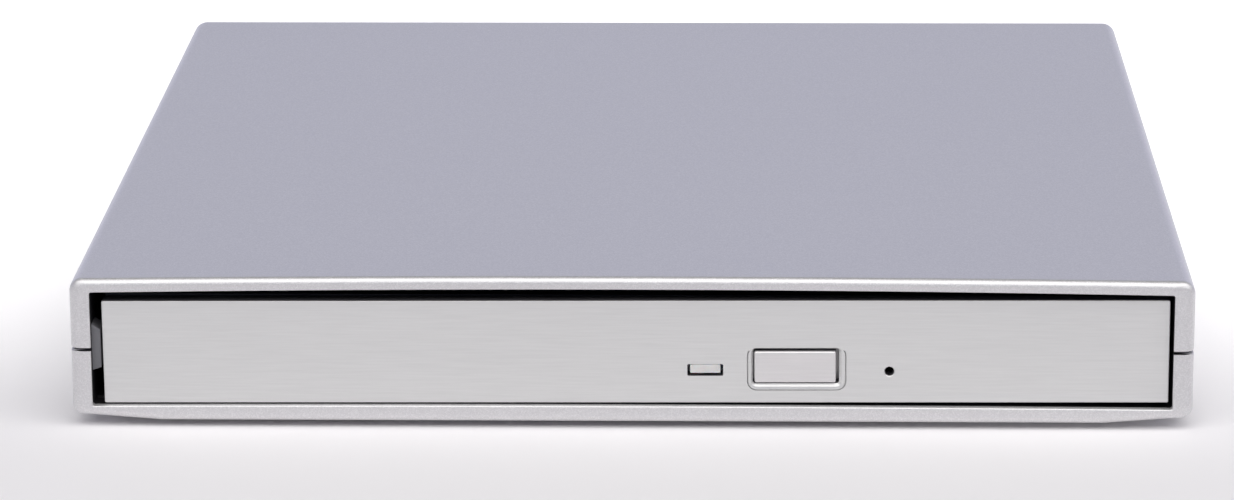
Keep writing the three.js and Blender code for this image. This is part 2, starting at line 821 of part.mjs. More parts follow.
function mainBoard() {
  const half = wallInner - 6.5 * boardGauge;
  const span = [mainBoardFront, mainBoardRear];
  const board = block([-half, half], span, [mainBoardLow, mainBoardTop]);
  node(drive, "main_board", board, "board");
  const middle = (mainBoardFront + mainBoardRear) / 2;
  const chip = block(around(-socketX, chipSide), around(middle, chipSide), [
    mainBoardTop,
    mainBoardTop + chipHeight,
  ]);
  node(drive, "main_chip", chip, "chip");
  const body = block(around(socketX, socketWidth), [socketRear - socketDepth, socketRear], [
    mainBoardTop,
    socketTop,
  ]);
  const slot = block(
    around(socketX, socketWidth - 2 * socketWall),
    [socketRear - socketDepth + socketWall, socketRear + overrun],
    [socketSlotLow, socketSlotTop],
  );
  node(drive, "drive_socket", cut(solid(body), slot), "socket");
}

// The ribbon lies flat on the pan, folds back on itself and ends under the tray.
function trayRibbon() {
  const middle = (ribbonLow + ribbonHigh + ribbonGauge) / 2;
  const outer = middle - ribbonLow;
  const inner = outer - ribbonGauge;
  const foldY = spindleY + ribbonWidth - trayTravel / 2 - ribbonLoop * 12;
  const fixedY = mainBoardRear - (mainBoardRear - mainBoardFront) * ribbonFixShare;
  const trayEnd = spindleY + ribbonWidth * 0.8;
  const quarter = Math.PI / 2;
  const bend = (radius, from, to) => arc(foldY, middle, radius, from, to, arcSteps + 1);
  const outline = [
    new THREE.Vector2(fixedY, ribbonLow),
    new THREE.Vector2(fixedY, ribbonLow + ribbonGauge),
    ...bend(inner, 3 * quarter, quarter),
    new THREE.Vector2(trayEnd, ribbonHigh),
    new THREE.Vector2(trayEnd, ribbonHigh + ribbonGauge),
    ...bend(outer, quarter, 3 * quarter),
  ];
  const shape = new THREE.Shape(outline);
  const strip = new THREE.ExtrudeGeometry(shape, { depth: ribbonWidth, bevelEnabled: false });
  strip.translate(0, 0, -ribbonWidth / 2);
  const across = new THREE.Matrix4().makeBasis(
    new THREE.Vector3(0, 1, 0),
    new THREE.Vector3(0, 0, 1),
    new THREE.Vector3(1, 0, 0),
  );
  node(drive, "tray_ribbon", strip.applyMatrix4(across), "ribbon");
}

// Tray

const underplateRight = postX - postRadius - 3 * runningGap;
const screwAxis = sledHalf + screwRadius + runningGap;
const chassisHalf = screwAxis + stepperRadius + runningGap + chassisWall;
const outerTrack = discDiameter / 2 - discEdgeBand;
const pathEnd = outerTrack + sledAhead + runningGap;
const chassisEnd = pathEnd + runningGap + chassisBar;
const windowStart = -(seatRadius + 3 * runningGap);
const pivotY = postY - pivotAhead;
const collarY = springFront + springLength + seat;
const ejectorGuideY = collarY + ejectorCollarThick + ejectorTravel + 2 * seat;

function trayBody() {
  const wide = [-trayHalf, trayHalf];
  const tall = [wellZ, trayTop + overrun];
  const plate = block(wide, [trayFront, trayRear], [wellUnder, trayTop]);
  const beams = [-1, 1].map((way) =>
    block(
      way < 0 ? [-trayHalf, -beamInner] : [beamInner, trayHalf],
      [trayFront, trayRear],
      [beamBottom, wellZ],
    ),
  );
  const gapLeft = lightX - lightSlotWidth * 1.3;
  const gapRight = releaseX + 3 * latchBar;
  const frontBeams = [
    block([-trayHalf, gapLeft], [trayFront, beamRear], [grooveBottom, wellZ]),
    block([gapRight, trayHalf], [trayFront, beamRear], [grooveBottom, wellZ]),
  ];
  const ejectorWalls = [springFront - seat - ejectorWall, ejectorGuideY].map((y) =>
    block(around(ejectorX, 3 * ejectorCollar), [y, y + ejectorWall], [chassisLow, wellZ]),
  );
  const posts = [
    [-trayHalf + 3 * guideWeb + latchGauge * 4, trayFront + trayFrontWall * 7],
    [gapLeft + latchBar, spindleY - motorRadius * 3],
    [underplateRight - latchBar, spindleY + motorRadius],
    [-trayHalf + 3 * guideWeb + latchGauge * 4, spindleY + motorRadius],
  ].map(([x, y]) => post(latchBar, [underplateTop + seat, wellZ], x, y));
  const body = join(plate, ...beams, ...frontBeams, ...ejectorWalls, ...posts);
  const well = post(wellRadius, tall, 0, spindleY, fineSteps);
  const reliefs = block([-driveHalf, driveHalf], around(spindleY, 2 * thumbRelief), tall);
  const grooves = [-1, 1].map((way) =>
    block(
      way < 0 ? [-driveHalf, -grooveInner] : [grooveInner, driveHalf],
      [trayFront + trayBeam * 2, trayRear + overrun],
      [grooveBottom, grooveTop],
    ),
  );
  const windowBox = block(
    [windowStart, chassisEnd + runningGap],
    [-trimHalf - seat, trimHalf + seat],
    [wellUnder - overrun, wellZ + overrun],
  );
  windowBox.rotateZ(pathTurn).translate(0, spindleY, 0);
  const guideSpan = [ejectorGuideY - overrun, ejectorGuideY + overrun];
  const rodHole = barAlongY(ejectorRadius + runningGap, guideSpan, ejectorX, ejectorZ);
  return cut(body, well, reliefs, ...grooves, windowBox, rodHole);
}

function underplate() {
  const left = -trayHalf + 3 * guideWeb + latchGauge * 2;
  const plate = block(
    [left, underplateRight],
    [beamRear + seat, underplateRear],
    [underplateLow, underplateTop],
  );
  const vent = block(
    [left / 2 - motorRadius / 2, left / 2 + motorRadius / 2],
    around(spindleY - motorRadius, motorRadius),
    [underplateLow - overrun, underplateTop + overrun],
  );
  node(drive, "tray_underplate", cut(solid(plate), vent), "steel");
}

// A trim plate in the tray's window, with round room for the hub and a slot for the lens.
function mechanismTrim() {
  const top = wellZ - seat / 3;
  const heights = [top - trimGauge, top];
  const through = [wellUnder - overrun, wellZ + overrun];
  const plate = block([windowStart + seat, chassisEnd], [-trimHalf, trimHalf], heights);
  const hub = post(seatRadius + 2 * runningGap, through, 0, 0, fineSteps);
  const slot = block([0, pathEnd - seat], around(0, 2 * lensWindowHalf), through);
  const open = block([windowStart - overrun, 0], around(0, 2 * lensWindowHalf), through);
  node(path, "mechanism_trim", cut(solid(plate), hub, slot, open), "trim");
}

// Bezel group: heights here are counted from the middle of the bezel

function bezelPlate() {
  const width = driveWidth + 2 * bezelLap;
  const outline = roundedOutline(0, 0, width, driveHeight, bezelCornerRadius);
  const bevel = bezelCornerRadius / 2;
  const small = roundedOutline(0, 0, width - 2 * bevel, driveHeight - 2 * bevel, bezelCornerRadius);
  const plate = loft([
    { y: bezelFront, outline: small },
    { y: bezelFront + bevel, outline },
    { y: bezelBack, outline },
  ]);
  const clips = [-1, 1].map((way) =>
    block(
      around(way * driveHalf * 0.7, 4 * clipLength),
      [bezelBack - bezelThick / 2, bezelBack + clipLength],
      [grooveBottom - bezelZ - 2 * seat - clipThick, grooveBottom - bezelZ - 2 * seat],
    ),
  );
  const through = [bezelFront - overrun, bezelBack + overrun];
  const slot = block(around(lightX, lightSlotWidth), through, around(lightZ, lightSlotHeight));
  const hole = block(around(buttonHoleX, buttonHoleWidth), through, around(buttonHoleZ, buttonHoleHeight));
  const surround = loft([
    {
      y: bezelFront - surroundDepth,
      outline: roundedOutline(
        2 * surroundX - buttonHoleX,
        2 * surroundZ - buttonHoleZ,
        2 * surroundWidth - buttonHoleWidth,
        2 * surroundHeight - buttonHoleHeight,
        surroundRadius * 1.5,
      ),
    },
    {
      y: bezelFront + surroundDepth,
      outline: roundedOutline(
        buttonHoleX,
        buttonHoleZ,
        buttonHoleWidth - surroundRadius / 10,
        buttonHoleHeight - surroundRadius / 10,
        surroundRadius / 2,
      ),
    },
  ]);
  const release = barAlongY(releaseRadius, through, releaseX, releaseZ, roundSteps);
  node(face, "bezel", cut(join(plate, ...clips), slot, hole, surround, release), "bezel");
}

function lightWindow() {
  const flangeY = [bezelBack + seat, bezelBack + seat + sheet];
  const top = lightZ + lightSlotHeight / 2 - seat / 3;
  const pipe = block(around(lightX, lightPipeWidth), [bezelFront, flangeY[1] + sheet], [
    top - lightPipeHeight,
    top,
  ]);
  const collar = block(
    around(lightX, lightSlotWidth + 4 * sheet),
    flangeY,
    around(lightZ, lightSlotHeight + 2 * sheet),
  );
  node(face, "led_window", join(pipe, collar), "light");
}

function ejectButton() {
  const capFront = bezelFront - buttonProud;
  const cap = block(
    around(buttonX, buttonWidth),
    [capFront, bezelBack + 2 * seat],
    around(buttonZ, buttonHeight),
  );
  const ears = block(
    around(buttonX, buttonHoleWidth + 2 * sheet),
    [bezelBack + seat, bezelBack + seat + sheet],
    [buttonZ - buttonHeight / 2 - seat, buttonZ + buttonHeight / 2 - seat],
  );
  const stem = block(
    around(buttonX, buttonStem),
    [capFront + buttonThick, bezelBack + buttonThick + seat],
    around(buttonZ, buttonStem / 2),
  );
  node(face, "eject_button", join(cap, ears, stem), "bezel");
}

function frontBoard() {
  const boardFront = bezelBack + buttonThick + 2 * seat;
  const boardY = [boardFront, boardFront + frontBoardDepth];
  const low = underplateTop + frontBoardRise;
  const top = low + boardGauge;
  const boardX = [lightX - frontBoardAside, releaseX - releaseAside];
  const board = block(boardX, boardY, [low, top]);
  node(drive, "front_board", board, "board");
  const switchFront = boardFront + buttonTravel;
  const body = block(around(buttonX, switchWidth), [switchFront, switchFront + switchDepth], [
    top,
    top + switchHeight,
  ]);
  node(drive, "eject_switch", body, "chip");
  const lamp = block(around(lightX, lampWidth), [boardY[0] + seat, boardY[0] + seat + lampHeight], [
    top,
    top + lampHeight,
  ]);
  node(drive, "activity_lamp", lamp, "light");
}

// Disc mechanism: these forms lie along the pickup's path, from the spindle outwards

const rodZ = chassisTop + guideRodRise;
const stepperEnd = innerTrack - sledBehind - stepperGap;
const motorLow = chassisTop + seat;
const rotorLow = motorLow + motorBase + seat;
const cupTop = motorLow + motorBase + coilHeight + seat + cupWall;
const seatLow = wellZ + seat;
const ringLow = seatLow + seatGauge;
const discZ = ringLow + discRingHeight;

function chassis() {
  const heights = [chassisLow, chassisTop];
  const wallTop = rodZ + guideRodRadius;
  const start = -motorRadius - chassisBar;
  const floor = block([start, chassisEnd], [-chassisHalf, chassisHalf], heights);
  const walls = [-1, 1].map((way) =>
    block(
      [stepperEnd, chassisEnd],
      way < 0 ? [-chassisHalf, -chassisHalf + chassisWall] : [chassisHalf - chassisWall, chassisHalf],
      [chassisLow, wallTop],
    ),
  );
  const endBar = block(
    [pathEnd + runningGap, chassisEnd],
    [-chassisHalf, chassisHalf],
    [chassisLow, wallTop],
  );
  const tabs = [-1, 1].map((way) =>
    block([stepperEnd, stepperEnd + chassisWall], around(way * guideRodOffset, 2 * guideRodRadius), [
      chassisLow,
      wallTop,
    ]),
  );
  const through = [chassisLow - overrun, chassisTop + overrun];
  const opening = block(
    [stepperEnd + chassisWall + chassisBar, pathEnd + runningGap],
    [-sledHalf - seat, sledHalf + seat],
    through,
  );
  const stepperRoom = block(
    [stepperStart - seat, stepperEnd + seat],
    around(screwAxis, 2 * stepperRadius + 2 * seat),
    through,
  );
  const bore = post(shaftRadius + seat, through);
  const beamRoom = [-1, 1].map((way) => {
    const outside = [beamInner - seat, driveHalf];
    const x = outside.map((v) => way * v).sort((a, b) => a - b);
    const room = block(x, [trayFront - spindleY, driveRear - spindleY], [chassisLow - overrun, wellZ]);
    return room.rotateZ(-pathTurn);
  });
  const frame = join(floor, ...walls, endBar, ...tabs);
  const body = cut(frame, opening, stepperRoom, bore, ...beamRoom);
  node(path, "mechanism_chassis", body, "steel");
}

function slideRods() {
  const span = [stepperEnd + chassisWall + seat, pathEnd];
  [-guideRodOffset, guideRodOffset].forEach((v, k) => {
    node(path, `guide_rod_${k + 1}`, barAlongX(guideRodRadius, span, v, rodZ, arcSteps * 2), "steel");
  });
  const thread = barAlongX(screwRadius, [stepperEnd + seat, pathEnd], screwAxis, rodZ, arcSteps * 2);
  node(path, "lead_screw", thread, "brass");
  const can = barAlongX(stepperRadius, [stepperStart, stepperEnd], screwAxis, rodZ);
  node(path, "stepper_motor", can, "steel");
}

function pickup() {
  const low = chassisTop + seat / 2;
  const top = low + sledHeight;
  const along = [innerTrack - sledBehind, innerTrack + sledAhead];
  const body = block(along, [-sledHalf, sledHalf], [low, top]);
  const nut = block(
    around(innerTrack, 2 * nutHalf),
    [sledHalf - seat, chassisHalf - chassisWall - seat],
    [low, rodZ + screwRadius],
  );
  const long = [innerTrack - 2 * sledBehind, innerTrack + 2 * sledBehind];
  const bores = [-guideRodOffset, guideRodOffset].map((v) =>
    barAlongX(guideRodRadius + runningGap, long, v, rodZ, arcSteps * 2),
  );
  const trough = barAlongX(screwRadius + runningGap, long, screwAxis, rodZ, arcSteps * 2);
  const above = block(long, [sledHalf, screwAxis + screwRadius + runningGap], [rodZ, wellZ]);
  const moon = post(motorRadius + 2 * seat, [low - overrun, top + overrun]);
  node(path, "pickup_sled", cut(join(body, nut), ...bores, trough, above, moon), "brass");
  const holderLow = top + holderLift;
  const holder = block(around(innerTrack, 2 * holderHalf - 2 * seat), around(0, 2 * holderHalf), [
    holderLow,
    holderLow + holderHeight,
  ]);
  node(path, "lens_holder", holder, "socket");
  const lens = post(lensRadius, [holderLow + holderHeight, holderLow + holderHeight + lensHeight]);
  const placed = node(path, "objective_lens", lens, "lens");
  placed.position.x = innerTrack;
}

function spindle() {
  const coilTop = motorLow + motorBase + coilHeight;
  const coilRadius = motorRadius - cupWall - 2 * seat;
  const stator = [
    [shaftRadius + seat, motorLow],
    [motorRadius, motorLow],
    [motorRadius, motorLow + motorBase],
    [coilRadius, motorLow + motorBase],
    [coilRadius, coilTop],
    [shaftRadius + seat, coilTop],
  ];
  const placed = node(drive, "spindle_stator", turned(stator, roundSteps * 2), "brass");
  placed.position.y = spindleY;
  const skirtInner = motorRadius - cupWall;
  const neck = hubRadius - cupWall;
  const rotor = [
    [0, motorLow],
    [shaftRadius, motorLow],
    [shaftRadius, coilTop + seat],
    [skirtInner, coilTop + seat],
    [skirtInner, rotorLow],
    [motorRadius, rotorLow],
    [motorRadius, cupTop],
    [neck, cupTop],
    [neck, seatLow],
    [seatRadius, seatLow],
    [seatRadius, ringLow],
    [hubRadius, ringLow],
    [hubRadius, discZ + hubHeight - clawHeight / 2],
    [hubRadius - clawHeight / 2, discZ + hubHeight],
    [0, discZ + hubHeight],
  ];
  const clawLow = discZ + hubHeight - clawHeight - clawHeight / 2;
  const turns = [0, 1, 2].map((k) => (2 * Math.PI * k) / 3);
  const clawSlot = (turn) =>
    block(
      [hubRadius - clawLength - clawProud - 3 * seat, hubRadius + overrun],
      around(0, clawWidth + 2 * runningGap),
      [clawLow - runningGap, clawLow + clawHeight + runningGap],
    ).rotateZ(turn);
  const turnedRotor = cut(solid(turned(rotor, roundSteps * 2)), ...turns.map(clawSlot));
  const hub = node(drive, "spindle_rotor", turnedRotor, "trim");
  hub.position.y = spindleY;
  const ring = [
    [discRingInner, ringLow],
    [discRingRadius, ringLow],
    [discRingRadius, discZ],
    [discRingInner, discZ],
  ];
  node(drive, "disc_ring", turned(ring, roundSteps * 2), "rubber").position.y = spindleY;
  turns.forEach((turn, k) => {
    const claw = block(
      [hubRadius - clawLength + clawProud, hubRadius],
      around(0, clawWidth),
      [clawLow, clawLow + clawHeight],
    );
    const nose = post(clawWidth / 2, [clawLow, clawLow + clawHeight], hubRadius + clawProud - clawWidth / 2);
    const made = node(drive, `hub_claw_${k + 1}`, join(claw, nose), "socket");
    made.rotation.z = turn;
    made.position.y = spindleY;
  });
}

// Latch and ejector

function latch() {
  const heights = [chassisLow + latchRise, chassisLow + latchRise + latchGauge];
  const tooth = [postX + postRadius + runningGap, postY + postRadius + toothBehind];
  const armX = tooth[0] + toothReach - latchBar / 2;
  const toothBlock = block([tooth[0], tooth[0] + toothReach], [tooth[1], tooth[1] + toothLength], heights);
  const arm = link([pivotX, pivotY], [armX, tooth[1] + toothLength / 2], latchBar, heights);
  const tail = link([pivotX, pivotY], [releaseX, pivotY - tailAhead], latchBar, heights);
  const hub = post(latchHubRadius, heights, pivotX, pivotY);
  const bore = post(pivotRadius + runningGap, [heights[0] - overrun, heights[1] + overrun], pivotX, pivotY);
  node(drive, "latch_lever", cut(join(hub, arm, tail, toothBlock), bore), "socket");
  const headLow = heights[0] - runningGap - sheet;
  const pin = join(
    post(pivotRadius, [headLow, wellUnder], pivotX, pivotY),
    post(pivotHeadRadius, [headLow, heights[0] - runningGap], pivotX, pivotY),
  );
  node(drive, "latch_pin", pin, "steel");
  const peg = post(postRadius, [panFloor, heights[1] + latchGauge / 2], postX, postY);
  node(drive, "lock_post", peg, "steel");
  const solenoidLow = underplateTop + seat;
  const axisZ = solenoidLow + solenoidHeight / 2;
  const tipY = pivotY - (tailAhead * (pivotX - solenoidX)) / (pivotX - releaseX) + plungerTipGap;
  const coilY = tipY + plungerReach;
  const coil = cut(
    solid(block(around(solenoidX, solenoidWidth), [coilY, coilY + solenoidLength], [
      solenoidLow,
      solenoidLow + solenoidHeight,
    ])),
    barAlongY(plungerRadius + runningGap, [coilY - overrun, coilY + solenoidLength * 0.8], solenoidX, axisZ),
  );
  node(drive, "eject_solenoid", coil, "brass");
  const bar = barAlongY(plungerRadius, [tipY, coilY + solenoidLength * 0.6], solenoidX, axisZ);
  node(drive, "solenoid_plunger", bar, "steel");
}

// A wire wound along Y round the ejector's rod.
function ejectSpring() {
  const turnLength = springLength - 2 * springWire;
  const steps = 8 * springTurns;
  const sides = 5;
  const positions = [];
  const faces = [];
  for (let k = 0; k <= steps; k += 1) {
    const t = k / steps;
    const angle = 2 * Math.PI * springTurns * t;
    const y = springFront + springWire + turnLength * t;
    for (let s = 0; s < sides; s += 1) {
      const turn = (2 * Math.PI * s) / sides;
      const radius = springRadius + springWire * Math.cos(turn);
      positions.push(
        ejectorX + radius * Math.cos(angle),
        y + springWire * Math.sin(turn),
        ejectorZ + radius * Math.sin(angle),
      );
      if (k < steps) {
        const a = k * sides + s;
        const b = k * sides + ((s + 1) % sides);
        faces.push(a, b, a + sides, b, b + sides, a + sides);
      }
    }
  }
  const last = steps * sides;
  for (let s = 1; s + 1 < sides; s += 1) {
    faces.push(0, s + 1, s, last, last + s, last + s + 1);
  }
  const geometry = new THREE.BufferGeometry();
  geometry.setAttribute("position", new THREE.Float32BufferAttribute(positions, 3));
  geometry.setIndex(faces);
  node(drive, "eject_spring", geometry, "steel");
}

function ejectPlunger() {
  const rodEnd = tabY - seat;
  const rod = barAlongY(ejectorRadius, [springFront, rodEnd], ejectorX, ejectorZ);
  const collar = barAlongY(ejectorCollar, [collarY, collarY + ejectorCollarThick], ejectorX, ejectorZ);
  node(drive, "eject_plunger", join(rod, collar), "socket");
}

buildCase();
bridgeBoard();
bridgePlug();
cableInlet();
driveBase();
driveCover();
railGuides();
mainBoard();
trayRibbon();
node(drive, "tray", trayBody(), "tray");
underplate();
mechanismTrim();
bezelPlate();
lightWindow();
ejectButton();
frontBoard();
chassis();
slideRods();
pickup();
spindle();
latch();
ejectSpring();
ejectPlunger();

export default unit;
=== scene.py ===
import json
import math

import bmesh
import bpy
from mathutils import Matrix, Vector


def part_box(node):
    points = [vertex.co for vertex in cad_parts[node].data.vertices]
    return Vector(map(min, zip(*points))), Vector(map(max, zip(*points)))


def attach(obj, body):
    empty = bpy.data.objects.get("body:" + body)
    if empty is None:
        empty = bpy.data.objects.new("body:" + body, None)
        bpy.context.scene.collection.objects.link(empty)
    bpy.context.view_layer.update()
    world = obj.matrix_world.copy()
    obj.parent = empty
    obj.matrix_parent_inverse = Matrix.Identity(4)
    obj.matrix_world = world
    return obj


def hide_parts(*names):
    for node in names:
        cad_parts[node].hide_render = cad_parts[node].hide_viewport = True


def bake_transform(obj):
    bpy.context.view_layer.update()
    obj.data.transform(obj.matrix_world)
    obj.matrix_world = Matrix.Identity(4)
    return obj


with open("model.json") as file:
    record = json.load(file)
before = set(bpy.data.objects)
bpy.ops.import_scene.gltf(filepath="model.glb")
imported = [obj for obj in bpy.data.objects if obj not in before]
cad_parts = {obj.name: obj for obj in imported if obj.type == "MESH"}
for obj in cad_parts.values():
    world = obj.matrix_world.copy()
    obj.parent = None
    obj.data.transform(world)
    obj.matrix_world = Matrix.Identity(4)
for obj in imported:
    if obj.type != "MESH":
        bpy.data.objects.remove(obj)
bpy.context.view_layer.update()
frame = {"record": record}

MM = 0.001
QUARTER = math.pi / 2

# Sizes shared with the solids, in millimetres
CASE_HALF = 67.6
CAVITY_HALF = 65.1
CASE_FRONT = -70.0
CASE_REAR = 70.0
CASE_DEPTH = CASE_REAR - CASE_FRONT
CAVITY_REAR = 68.0
FOOT_HEIGHT = 0.8
SHOULDER_Z = 18.53
ROOF_Z = 16.9
FLOOR_Z = 2.85
SEAM_Z = 9.771
SEAM_GAP = 0.4
SEAM_TOP = SEAM_Z + SEAM_GAP / 2
SEAM_FOOT = SEAM_Z - SEAM_GAP / 2
CROWN_RISE = 0.415
ARCH_RISE = 0.57
LIP_RISE = 0.2
LIP_DROP = 0.2
LIP_DEPTH = 3.5
FRONT_RADIUS = 1.2
BROW_RADIUS = 0.85
SHOULDER_RADIUS = 1.6
REAR_RADIUS = 2.2
KEEL_RADIUS = 1.3
KEEL_RISE = 0.7
KEEL_FLAT_SHARE = 0.843
MOUTH_RADIUS = 0.25
DRIVE_SHIFT = 0.446
BEZEL_FRONT = -69.2
BEZEL_BACK = -67.2
STOP_FRONT = BEZEL_BACK + 0.3
STOP_BACK = BEZEL_BACK + 0.8
BEZEL_Z = 9.55
BEZEL_TILT = 0.0038
SPINDLE_Y = -5.0
HUB_PLACE = (DRIVE_SHIFT, SPINDLE_Y)

# Materials


def put(tree, kind, given=None, **settings):
    """A new node with its settings, each of its inputs linked or set."""
    node = tree.nodes.new(kind)
    for name, value in settings.items():
        setattr(node, name, value)
    for place, value in (given or {}).items():
        if isinstance(value, bpy.types.NodeSocket):
            tree.links.new(value, node.inputs[place])
        else:
            node.inputs[place].default_value = value
    return node


def linear(colour):
    """An sRGB colour of 0 to 255 as the linear values that a shader takes."""
    def one(value):
        share = value / 255
        return share / 12.92 if share <= 0.04045 else ((share + 0.055) / 1.055) ** 2.4
    return [one(value) for value in colour] + [1.0]


def principled(name, colour, roughness, metallic=0.0, coat=0.0):
    """A new material and its nodes, with the finish's own colour and gloss."""
    material = bpy.data.materials.new(name)
    material.use_nodes = True
    shader = material.node_tree.nodes["Principled BSDF"]
    shader.inputs["Base Color"].default_value = linear(colour)
    shader.inputs["Roughness"].default_value = roughness
    shader.inputs["Metallic"].default_value = metallic
    shader.inputs["Coat Weight"].default_value = coat
    shader.inputs["Coat Roughness"].default_value = 0.2
    return material, material.node_tree, shader


def mapped(tree, stretch=(1, 1, 1), turn=(0, 0, 0)):
    """Object coordinates, turned and stretched for a pattern that runs one way."""
    here = put(tree, "ShaderNodeTexCoord").outputs["Object"]
    given = {"Vector": here, "Scale": stretch, "Rotation": turn}
    return put(tree, "ShaderNodeMapping", given).outputs["Vector"]


def noise(tree, vector, scale, detail):
    given = {"Vector": vector, "Scale": scale, "Detail": detail, "Roughness": 0.55}
    return put(tree, "ShaderNodeTexNoise", given).outputs["Fac"]


def wave(tree, vector, settings, **direction):
    given = {"Vector": vector, **settings}
    return put(tree, "ShaderNodeTexWave", given, **direction).outputs["Fac"]


def ramp(tree, factor, stops):
    """Linear colours along a value of 0 to 1, given as (place, colour)."""
    node = put(tree, "ShaderNodeValToRGB", {"Fac": factor})
    elements = node.color_ramp.elements
    for place, colour in stops[2:]:
        elements.new(place)
    for element, (place, colour) in zip(elements, stops):
        element.position = place
        element.color = colour
    return node.outputs["Color"]


def tinted(tree, shader, pattern, stops):
    """Colours a finish by a pattern, in stops of (place, sRGB colour)."""
    colours = ramp(tree, pattern, [(place, linear(colour)) for place, colour in stops])
    tree.links.new(colours, shader.inputs["Base Color"])


def roughened(tree, shader, pattern, low, high):
    """Lets a finish's roughness follow a pattern."""
    node = put(tree, "ShaderNodeMapRange", {"Value": pattern, "To Min": low, "To Max": high})
    tree.links.new(node.outputs["Result"], shader.inputs["Roughness"])


def bump(tree, shader, height, strength, distance=0.02):
    given = {"Height": height, "Strength": strength, "Distance": distance * MM}
    node = put(tree, "ShaderNodeBump", given)
    tree.links.new(node.outputs["Normal"], shader.inputs["Normal"])


def shade(colour, by):
    return tuple(min(255, max(0, value + by)) for value in colour)


def silver_paint():
    """Metallic lacquer: a fine grain of flakes under a soft gloss."""
    colour = (224, 223, 224)
    material, tree, shader = principled("silver_paint", colour, 0.52, metallic=0.8)
    here = mapped(tree)
    cells = put(tree, "ShaderNodeTexVoronoi", {"Vector": here, "Scale": 8000})
    grey = put(tree, "ShaderNodeSeparateColor", {"Color": cells.outputs["Color"]})
    grain = grey.outputs["Red"]
    tinted(tree, shader, grain, [(0.0, shade(colour, -7)), (0.6, colour), (1.0, shade(colour, 9))])
    roughened(tree, shader, grain, 0.47, 0.57)
    bump(tree, shader, noise(tree, here, 2600, 3), 0.07)
    return material


def brushed_plate(name, colour):
    """Pale metal brushed from side to side."""
    material, tree, shader = principled(name, colour, 0.4, metallic=0.6)
    lines = noise(tree, mapped(tree, (170, 900, 4200)), 1.0, 2)
    bands = noise(tree, mapped(tree, (60, 200, 260)), 1.0, 2)
    tinted(tree, shader, lines, [(0.25, shade(colour, -3)), (0.5, colour), (0.75, shade(colour, 3))])
    roughened(tree, shader, bands, 0.36, 0.46)
    bump(tree, shader, lines, 0.045)
    return material


def rolled_sheet(name, colour, roughness):
    """Plated sheet metal with faint rolling marks and soft stains."""
    material, tree, shader = principled(name, colour, roughness, metallic=0.9)
    lines = noise(tree, mapped(tree, (900, 40, 900)), 1.0, 3)
    stains = noise(tree, mapped(tree), 70, 3)
    tinted(tree, shader, stains, [(0.3, shade(colour, -12)), (0.7, shade(colour, 6))])
    roughened(tree, shader, lines, roughness - 0.06, roughness + 0.08)
    bump(tree, shader, lines, 0.06)
    return material


def turned_metal(name, colour, roughness):
    """Bright drawn or turned metal."""
    material, tree, shader = principled(name, colour, roughness, metallic=1.0)
    fine = noise(tree, mapped(tree), 2600, 2)
    roughened(tree, shader, fine, roughness - 0.05, roughness + 0.07)
    clouds = noise(tree, mapped(tree), 160, 2)
    tinted(tree, shader, clouds, [(0.3, shade(colour, -10)), (0.7, colour)])
    return material


def moulded(name, colour, roughness, grain=1500, depth=0.03):
    """Moulded plastic or rubber with a fine spark-eroded grain."""
    material, tree, shader = principled(name, colour, roughness)
    here = mapped(tree)
    texture = noise(tree, here, grain, 3)
    clouds = noise(tree, here, 90, 3)
    tinted(tree, shader, clouds, [(0.3, shade(colour, -3)), (0.7, shade(colour, 4))])
    roughened(tree, shader, texture, roughness - 0.07, roughness + 0.08)
    bump(tree, shader, texture, 0.25, depth)
    return material


def clear_lens():
    """The pickup's objective: clear, with a blue coating."""
    material, tree, shader = principled("coated_lens", (120, 150, 185), 0.04)
    shader.inputs["Transmission Weight"].default_value = 0.6
    shader.inputs["IOR"].default_value = 1.52
    facing = put(tree, "ShaderNodeLayerWeight", {"Blend": 0.35}).outputs["Facing"]
    tinted(tree, shader, facing, [(0.0, (96, 128, 196)), (1.0, (176, 140, 190))])
    return material


def light_pipe():
    """Milky clear plastic of the activity light's window."""
    colour = (215, 215, 214)
    material, tree, shader = principled("milky_window", colour, 0.28)
    shader.inputs["Subsurface Weight"].default_value = 0.25
    shader.inputs["Subsurface Scale"].default_value = 0.4 * MM
    clouds = noise(tree, mapped(tree), 900, 2)
    tinted(tree, shader, clouds, [(0.3, shade(colour, -6)), (0.7, shade(colour, 5))])
    return material


def board_lacquer():
    """Green solder mask over faint copper tracks."""
    material, tree, shader = principled("board_lacquer", (28, 84, 52), 0.32, coat=0.3)
    here = mapped(tree, turn=(0, 0, QUARTER / 2))
    shape = {"Scale": 640, "Distortion": 7, "Detail": 1.5, "Detail Scale": 0.35}
    tracks = wave(tree, here, shape)
    tinted(tree, shader, tracks, [(0.62, (24, 78, 48)), (0.7, (42, 104, 66))])
    bump(tree, shader, tracks, 0.15)
    return material


def winding_wire():
    """Lacquered copper wire, wound close, with a painted highlight on each turn and painted shade
    between the turns.
    """
    material, tree, shader = principled("copper_winding", (168, 92, 48), 0.3, metallic=0.9)
    turns = wave(tree, mapped(tree), {"Scale": 900}, bands_direction="Z")
    # Light and dark bands along the turns: painted highlight and painted shade.
    tinted(tree, shader, turns, [(0.0, (112, 56, 28)), (1.0, (190, 112, 62))])
    bump(tree, shader, turns, 0.5, 0.08)
    return material


def flat_cable():
    """A flat ribbon cable: fine grey conductors in pale film."""
    material, tree, shader = principled("flat_cable", (214, 210, 198), 0.38)
    strands = wave(tree, mapped(tree), {"Scale": 310}, bands_direction="X")
    tinted(tree, shader, strands, [(0.3, (224, 221, 210)), (0.7, (176, 172, 160))])
    return material


